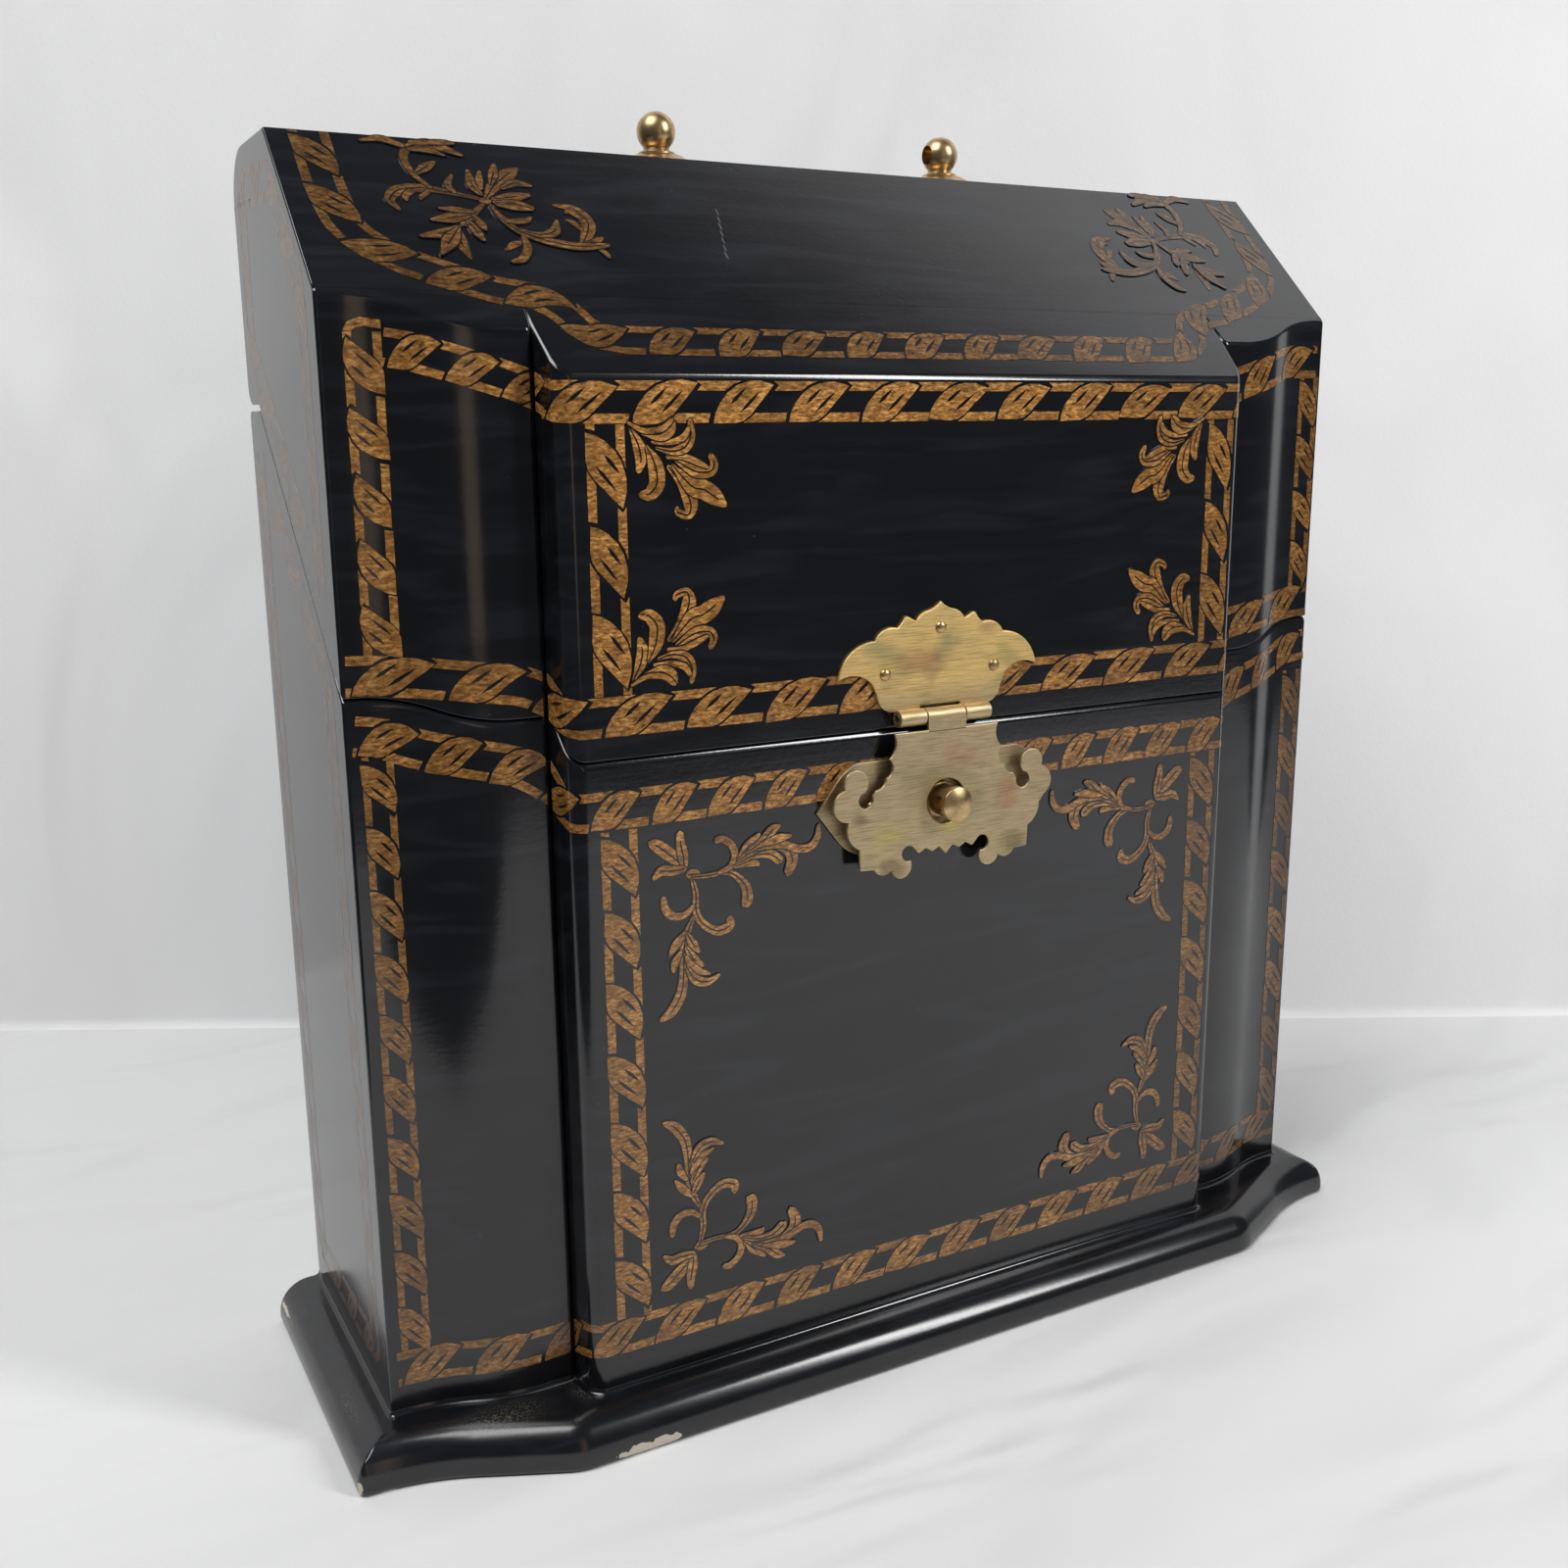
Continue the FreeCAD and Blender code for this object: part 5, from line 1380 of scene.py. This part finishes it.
def spray(name, strokes, corners, layer):
    """A spray on its flat sheet, once for each corner. Each stroke lies a hair above the one before, and
    has a dark edge under it and, where it is wide, a dark vein on it. The layer chooses which."""
    points, faces = [], []
    for side, across, way, up in corners:
        for number, stroke in enumerate(strokes):
            lift = LAYER_LIFT * (number % STACK * len(LAYERS) + LAYERS.index(layer))
            if layer == "vein":
                if max(mark[2] for mark in stroke) < VEINED_FROM or len(stroke) < 3:
                    continue
                stroke = stroke[:-1] + [tuple((a * 2 + b) / 3 for a, b in zip(stroke[-2], stroke[-1]))]
                widths = [VEIN[0]] + [VEIN[1]] * (len(stroke) - 2) + [VEIN[2]]
            else:
                widths = [mark[2] + (DARK_EDGE if layer == "edge" else 0) for mark in stroke]
            marks = [(x * side + across, z * way + up, width)
                     for (x, z, _), width in zip(stroke, widths)]
            left, right, nose, tail = brushed(marks, 0.12 if layer == "vein" else 0.15)
            start = len(points)
            rows = len(left)
            points += [(*spot, lift) for spot in left + right + [nose, tail]]
            for at in range(rows - 1):
                faces.append((start + rows + at, start + rows + at + 1, start + at + 1, start + at))
            faces.append((start + 2 * rows, start + rows, start))
            faces.append((start + 2 * rows + 1, start + rows - 1, start + 2 * rows - 1))
    return new_object(name, new_mesh(name, points, faces))


class LETTERBOX_OT_sprays(bpy.types.Operator):
    """Paints the leaf sprays in the corners of the lid, the body and the slope"""
    bl_idname = "letter_box.sprays"
    bl_label = "Painted sprays"

    def execute(self, context):
        case, paint = sizes(settings().case), sizes(settings().paint)
        front, gold = front_surface(case), "antique_gold_paint"
        for name, strokes, corners, surface, rides, paint_name in (
                ("lid_front_sprays", LID_SPRAY, LID_CORNERS, front, "lid", gold),
                ("body_front_sprays", BODY_SPRAY, BODY_CORNERS, front, "body", gold),
                ("lid_slope_sprays", SLOPE_SPRAY, SLOPE_CORNERS, slope_surface(case), "lid",
                 "rubbed_gold_paint")):
            for layer in LAYERS:
                flat = spray(name, strokes, corners, layer)
                finish_name, slot = ((paint_name, "gold_paint") if layer == "paint"
                                     else ("dark_lines", "lacquer"))
                piece = painted_piece(f"{name}_{layer}", [flat], surface, paint, finish_name)
                settle(piece, rides, slot=slot)
        return {"FINISHED"}


# Brass


UPPER_LEAF = [(3.7, 27.8, 9), (7.6, 25.1, -5), (10.0, 26.4), (11.3, 26.1, -0.9), (13.5, 23.7, 6),
              (20.2, 20.8, -5.5), (31.4, 11.0, -11.3), (20.8, 9.2, 8.2), (19.5, 6.0),
              (15.0, 1.6, -5), (6.2, 1.6), (6.2, 2.7), (0, 2.7)]
LOWER_LEAF = [(16.5, -3.3), (17.9, -9.9, 5.3), (18.9, -14.9, 2.9), (21.9, -17.7, 3), (23.1, -19.25),
              (26.2, -21.85, 2.15), (25.3, -17.85, 2.15), (27.2, -11.75, -3.65), (31.4, -16.7, -3.65),
              (30.6, -25.4, -4.4), (27.2, -33.1, -6.4), (26.9, -38.9), (22.6, -39.2),
              (17.3, -40.2, -3.4), (13.7, -42.7, -3.4), (11.1, -38.0, -3.4), (13.75, -35.15, 2.12),
              (9.95, -35.2, 2.12), (8.6, -36.5), (6.4, -35.3), (4.3, -36.5), (2.2, -35.4),
              (0, -37.7)]


def fretted_outline(start, steps, height):
    right = traced(start, steps, 0.45)
    return [(x, z + height) for x, z in right + mirrored(right)[1:-1]]


def knuckle(name, low, high, brass, material):
    """A rolled knuckle from low to high along X, with a slightly rounded rim."""
    radius, bore, rim = brass.barrel_radius, 1.25, 0.25
    long = high - low
    profile = [(bore, 0), (radius - rim, 0), (radius - rim * 0.3, rim * 0.3), (radius, rim),
               (radius, long - rim), (radius - rim * 0.3, long - rim * 0.3), (radius - rim, long),
               (bore, long), (bore, 0)]
    return spun(name, profile, (low, -brass.axis_out, brass.axis_height), (1, 0, 0), material)


def dome_heads(name, places, material):
    """Round pin heads, one at each place, instanced and realised."""
    radius, neck, shank, edge = settings().brass.pin_head * 1000, 0.7, 2.0, 0.12
    wide, high = radius * 0.97, radius * 0.55
    profile = [(0, shank), (neck, shank), (neck, 0), (radius, 0)]
    profile += [(wide * math.cos(turn), -edge - high * math.sin(turn)) for turn in turns(15, 0, 5)]
    profile += [(0, -edge - high)]
    unit = spun("pin_head", profile, (0, 0, 0), (0, 1, 0), material, 24)
    unit.data.transform(Matrix.Translation(-to_frame((0, 0, 0))))
    tree = bpy.data.node_groups.new("pin_heads", "GeometryNodeTree")
    given = with_inputs(tree, Pin="Object", Brass="Material")
    copies = placed(tree, given["Geometry"], shape_of(tree, given["Pin"]))
    painted_out(tree, link(tree, "GeometryNodeRealizeInstances", {"Geometry": copies}).outputs[0],
                given["Brass"])
    heads = grown(name, [to_frame(place) for place in places], tree, Pin=unit, Brass=material)
    drop(unit)
    return smooth(heads, 40)


class LETTERBOX_OT_hasp(bpy.types.Operator):
    """Makes the fretted hasp, its barrel, its pins, the catch plate and the post"""
    bl_idname = "letter_box.hasp"
    bl_label = "Hasp and catch"

    def execute(self, context):
        brass = sizes(settings().brass)
        sheet_brass, turned = finish("aged_brushed_brass"), finish("turned_aged_brass")
        up, gap = brass.axis_height, 0.2
        inner, outer = brass.middle_half, brass.barrel_half
        leaf = fretted_sheet("upper_sheet", fretted_outline((0, 29.9), UPPER_LEAF, up), [], brass.sheet,
                             -brass.sheet, brass.sheet_edge, sheet_brass)
        leaf = joined("hasp_upper_leaf_brass", leaf,
                      knuckle("left_knuckle", -outer, -inner - gap, brass, sheet_brass),
                      knuckle("right_knuckle", inner + gap, outer, brass, sheet_brass))
        settle(weigh_normals(leaf), "lid", ["hasp_upper_leaf"], "brass")

        front = -brass.axis_out - brass.barrel_radius
        leaf = fretted_sheet("lower_sheet", fretted_outline((0, -3.3), LOWER_LEAF, up),
                             [ring(brass.hole, 0, up - brass.post_drop)], brass.sheet, front,
                             brass.sheet_edge, sheet_brass)
        tongue = fretted_sheet("tongue", [(-inner, up - 4), (inner, up - 4), (inner, up + 0.2),
                                          (-inner, up + 0.2)], [], brass.sheet, front, 0.15, sheet_brass)
        leaf = joined("hasp_lower_leaf_brass", leaf, tongue,
                      knuckle("middle_knuckle", -inner, inner, brass, sheet_brass))
        settle(weigh_normals(leaf), "hasp", ["hasp_lower_leaf"], "brass")

        end, thin, chamfer = outer - 0.1, 1.2, 0.2
        profile = [(0, end), (thin - chamfer, end), (thin, end - chamfer)]
        profile = [(radius, -height) for radius, height in profile] + profile[::-1]
        pin = spun("hasp_hinge_pin_brass", profile, (0, -brass.axis_out, up), (1, 0, 0), turned, 32)
        settle(pin, "lid", ["hasp_hinge_pin"], "brass")
        post_height = up - brass.post_drop
        leaf_pins = [(x, -brass.sheet, up + z) for x, z in ((0, 23.1), (-17.2, 11.8), (17.2, 11.8))]
        plate_pins = [(x, -brass.plate, post_height) for x in (-21, 21)]
        for name, places, rides, node in (("hasp_leaf_pin_heads", leaf_pins, "lid", "hasp_leaf_pins"),
                                          ("catch_plate_pin_heads", plate_pins, "body",
                                           "catch_plate_pins")):
            settle(dome_heads(name, places, turned), rides, [node], "brass")

        tip, top = brass.plate_half_width, brass.plate_half_height
        shoulder, bend = tip * 0.68, (tip * 0.835, top * 0.66)
        right = traced((0, top), [(shoulder, top), (*bend, -top * 1.1), (tip, 0), (bend[0], -bend[1]),
                                  (shoulder, -top, -top * 1.1), (0, -top)], 0.6)
        outline = [(x, z + post_height) for x, z in right + mirrored(right)[1:-1]]
        plate = fretted_sheet("catch_plate_brass", outline, [], brass.plate, -brass.plate, 0.2, sheet_brass)
        settle(weigh_normals(plate), "body", ["catch_plate"], "brass")

        reach, head, drum, crown = brass.post_reach, brass.post_head, brass.post, 1.1
        dome = (head * head + crown * crown) / (crown * 2)
        cap = [(dome * math.sin(turn), reach - dome + dome * math.cos(turn))
               for turn in [math.asin(head / dome) * at / 8 for at in range(8, -1, -1)]]
        flange, foot, shoulder = drum + 0.6, brass.plate, reach - crown
        profile = [(0, -2), (flange, -2), (flange, foot), (flange, foot + 0.9), (drum + 0.3, foot + 1.2),
                   (drum, foot + 1.2), (drum, shoulder - 1.9), (head - 0.1, shoulder - 1.6),
                   (head, shoulder - 1.4), (head, shoulder - 0.25)]
        profile += [(radius * 0.97, height) for radius, height in cap]
        post = spun("catch_post_brass", profile, (0, 0, post_height), (0, -1, 0), turned, 64)
        past = 9  # The cutter stands out on both sides of the post.
        eye = spun("eye", [(0, -past), (brass.post_eye, -past), (brass.post_eye, past), (0, past)],
                   (0, -brass.post_eye_out, post_height), (1, 0, 0), turned, 40)
        cut_away(post, eye)
        settle(weigh_normals(smooth(post, 30)), "body", ["catch_post"], "brass")
        return {"FINISHED"}


class LETTERBOX_OT_ball_posts(bpy.types.Operator):
    """Makes the two ball posts and their rosettes"""
    bl_idname = "letter_box.ball_posts"
    bl_label = "Ball posts"

    def execute(self, context):
        case, brass = sizes(settings().case), sizes(settings().brass)
        turned = finish("turned_aged_brass")
        ball, tall, collar = brass.ball, brass.ball_height, brass.rosette_height
        for name, hand in HANDS:
            place = (brass.ball_at * hand, brass.ball_depth, case.height)
            neck, bore_depth = math.asin(3.6 / ball), 9
            sphere = [(ball * math.sin(turn), tall - ball * math.cos(turn))
                      for turn in [neck + (math.pi - neck) * at / 28 for at in range(29)]]
            start = sphere[0]
            profile = [(0, 1), (ball * 0.97, 1), (ball * 0.97, collar + 0.3), (ball * 0.92, collar + 0.55),
                       (4.1, collar + 0.65), (3.45, (collar + start[1]) / 2 + 0.4)] + sphere
            post = spun(f"{name}_ball_post_brass", profile, place, (0, 0, 1), turned, 72)
            middle = Vector(place) + Vector((0, 0, tall))
            bore = spun("bore", [(0, 0), (brass.ball_bore, 0), (brass.ball_bore, bore_depth),
                                 (0, bore_depth)], middle, (-hand, 0, 0), turned, 40)
            cut_away(post, bore)
            settle(weigh_normals(smooth(post, 30)), "lid", [f"{name}_ball_post"], "brass")
            rim = brass.rosette
            disc = [(0, -1), (rim - 0.15, -1), (rim, 0.2), (rim, 0.5), (rim * 0.97, 0.75), (rim * 0.9, 0.8),
                    (rim * 0.86, 1.0), (rim * 0.8, 1.5), (rim * 0.7, 2.1), (rim * 0.6, 2.45),
                    (rim * 0.5, collar), (0, collar)]
            rosette = spun(f"{name}_rosette_brass", disc, place, (0, 0, 1), turned, 72)
            settle(smooth(rosette, 40), "lid", [f"{name}_rosette"], "brass")
        return {"FINISHED"}


class LETTERBOX_OT_fittings(bpy.types.Operator):
    """Gives the back hinges, the screws, the nuts and the inner boards their finishes"""
    bl_idname = "letter_box.fittings"
    bl_label = "Hinges, screws and inner boards"

    def execute(self, context):
        leaves = [f"{name}_hinge_{body}_leaf" for body in ("body", "lid") for name, _ in HANDS]
        turned = [f"{name}_{piece}" for piece in ("hinge_pin", "ball_post_nut") for name, _ in HANDS]
        given = {
            "stained_thin_board": ["front_divider", "rear_divider"],
            "aged_brushed_brass": leaves,
            "turned_aged_brass": ["catch_post_nut", "body_hinge_screws", "lid_hinge_screws"] + turned}
        for name, nodes in given.items():
            for node in nodes:
                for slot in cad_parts[node].material_slots:
                    slot.material = finish(name)
        return {"FINISHED"}


# Stage


# The camera's place, which way it looks in plan, and the directions of its right and its top.
EYE = Vector((-0.236282, -0.394019, 0.257036))
HEADING = 28.535
RIGHTWARD, UPWARD = Vector((0.87749, -0.47950, -0.00927)), Vector((0.11261, 0.18722, 0.97584))
# The near edge of the floor cloth, and how far in front of the camera it meets the backdrop.
NEAR_EDGE = [(-0.95, 0.15), (-0.42, -0.1), (-0.26, -0.24), (-0.16, -0.38), (-0.02, -0.66), (0.24, -0.72),
             (1.05, -0.9)]
SEAM = 0.669
# Each lamp: its place, what it points at, how wide and tall it is, its power and its colour.
LAMPS = {"ceiling_softbox": ((-0.75, -0.15, 1.5), (0.05, 0.3, 0), 0.9, 0.9, 19, "#FFFFFF"),
         "front_right_window": ((0.62, -0.85, 0.84), (0, 0, 0.16), 0.2, 0.62, 7.8, "#FFFFFF"),
         "front_left_wall": ((-0.16, -1.35, 0.45), (-0.12, 0, 0.2), 0.2, 0.9, 0.45, "#F2D3B4")}


def lamp(name, place, target, wide, tall, power, tint):
    light = bpy.data.lights.new(name, "AREA")
    light.shape = "RECTANGLE"
    light.size, light.size_y = wide, tall
    light.energy = power
    light.color = linear(tint)
    holder = new_object(name, light)
    holder.location = place
    holder.rotation_euler = (Vector(target) - Vector(place)).to_track_quat("-Z", "Y").to_euler()


class LETTERBOX_OT_stage(bpy.types.Operator):
    """Makes the cloth floor and backdrop, the lamps, the world and the camera"""
    bl_idname = "letter_box.stage"
    bl_label = "Stage"

    def execute(self, context):
        scene = context.scene
        angle = math.radians(HEADING)
        ahead = Vector((math.sin(angle), math.cos(angle), 0))
        right = Vector((ahead.y, -ahead.x, 0))
        ground = Vector((EYE.x, EYE.y, 0))
        bend, floor_half, wall_height, wall_ends, lean = 0.004, 1.1, 1.1, (-1.1, 0.6), 0.02
        floor = [Vector((x, y, 0)) for x, y in NEAR_EDGE]
        floor += [ground + ahead * (SEAM - bend) + right * side for side in (floor_half, -floor_half)]
        mesh = new_mesh("floor_cloth", floor, [range(len(floor))])
        new_object("floor_cloth", mesh, finish("floor_cloth"))
        rise = [(SEAM - bend + bend * math.sin(turn), bend - bend * math.cos(turn))
                for turn in turns(15, 0, 6)] + [(SEAM + lean, wall_height)]
        points = [ground + ahead * out + right * side + Vector((0, 0, height))
                  for out, height in rise for side in wall_ends]
        mesh = new_mesh("backdrop_cloth", points, grid_faces(len(rise), 2))
        smooth(new_object("backdrop_cloth", mesh, finish("backdrop_cloth")), 60)
        for name, setting in LAMPS.items():
            lamp(name, *setting)

        scene.world = bpy.data.worlds.new("room")
        scene.world.use_nodes = True
        tree = scene.world.node_tree
        tree.nodes.clear()
        seen = link(tree, "ShaderNodeLightPath").outputs["Is Camera Ray"]
        room, pale = (link(tree, "ShaderNodeBackground", {"Color": linear(tint), "Strength": strength})
                      for tint, strength in (("#C3CAD4", 0.13), ("#DDDDDD", 1)))
        mix = link(tree, "ShaderNodeMixShader", {0: seen, 1: room.outputs[0], 2: pale.outputs[0]})
        link(tree, "ShaderNodeOutputWorld", {"Surface": mix.outputs[0]})

        lens = bpy.data.cameras.new("camera")
        lens.lens, lens.sensor_width, lens.sensor_fit = 36.6425, 36.0, "HORIZONTAL"
        lens.clip_start, lens.clip_end = 0.01, 50
        camera = new_object("camera", lens)
        turn = Matrix((RIGHTWARD, UPWARD, RIGHTWARD.cross(UPWARD))).transposed()
        camera.matrix_world = Matrix.Translation(EYE) @ turn.to_4x4()
        scene.camera = camera
        scene.view_settings.view_transform = "Standard"
        return {"FINISHED"}


class LETTERBOX_PT_panel(bpy.types.Panel):
    """Lists the pieces of the letter box and their settings"""
    bl_idname = "LETTERBOX_PT_panel"
    bl_label = "Letter box"
    bl_space_type = "VIEW_3D"
    bl_region_type = "UI"
    bl_category = "Letter box"

    def draw(self, context):
        for operator in OPERATORS:
            self.layout.operator(operator.bl_idname)
        for name in ("case", "brass", "paint", "finish"):
            group = getattr(settings(), name)
            column = self.layout.box().column()
            for prop in own_properties(group):
                column.prop(group, prop.identifier)


GROUPS = (CaseSizes, BrassSizes, PaintSizes, Finishes, LetterBoxSettings)
OPERATORS = (LETTERBOX_OT_plinth, LETTERBOX_OT_case, LETTERBOX_OT_borders, LETTERBOX_OT_sprays,
             LETTERBOX_OT_hasp, LETTERBOX_OT_ball_posts, LETTERBOX_OT_fittings, LETTERBOX_OT_stage)


def register():
    for kind in GROUPS + OPERATORS + (LETTERBOX_PT_panel,):
        bpy.utils.register_class(kind)
    bpy.types.Scene.letter_box = PointerProperty(type=LetterBoxSettings)


def unregister():
    del bpy.types.Scene.letter_box
    for kind in reversed(GROUPS + OPERATORS + (LETTERBOX_PT_panel,)):
        bpy.utils.unregister_class(kind)


def main():
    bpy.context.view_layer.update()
    register()
    bpy.ops.letter_box.plinth()
    bpy.ops.letter_box.case()
    bpy.ops.letter_box.borders()
    bpy.ops.letter_box.sprays()
    bpy.ops.letter_box.hasp()
    bpy.ops.letter_box.ball_posts()
    bpy.ops.letter_box.fittings()
    bpy.ops.letter_box.stage()


if __name__ == "__main__":
    main()
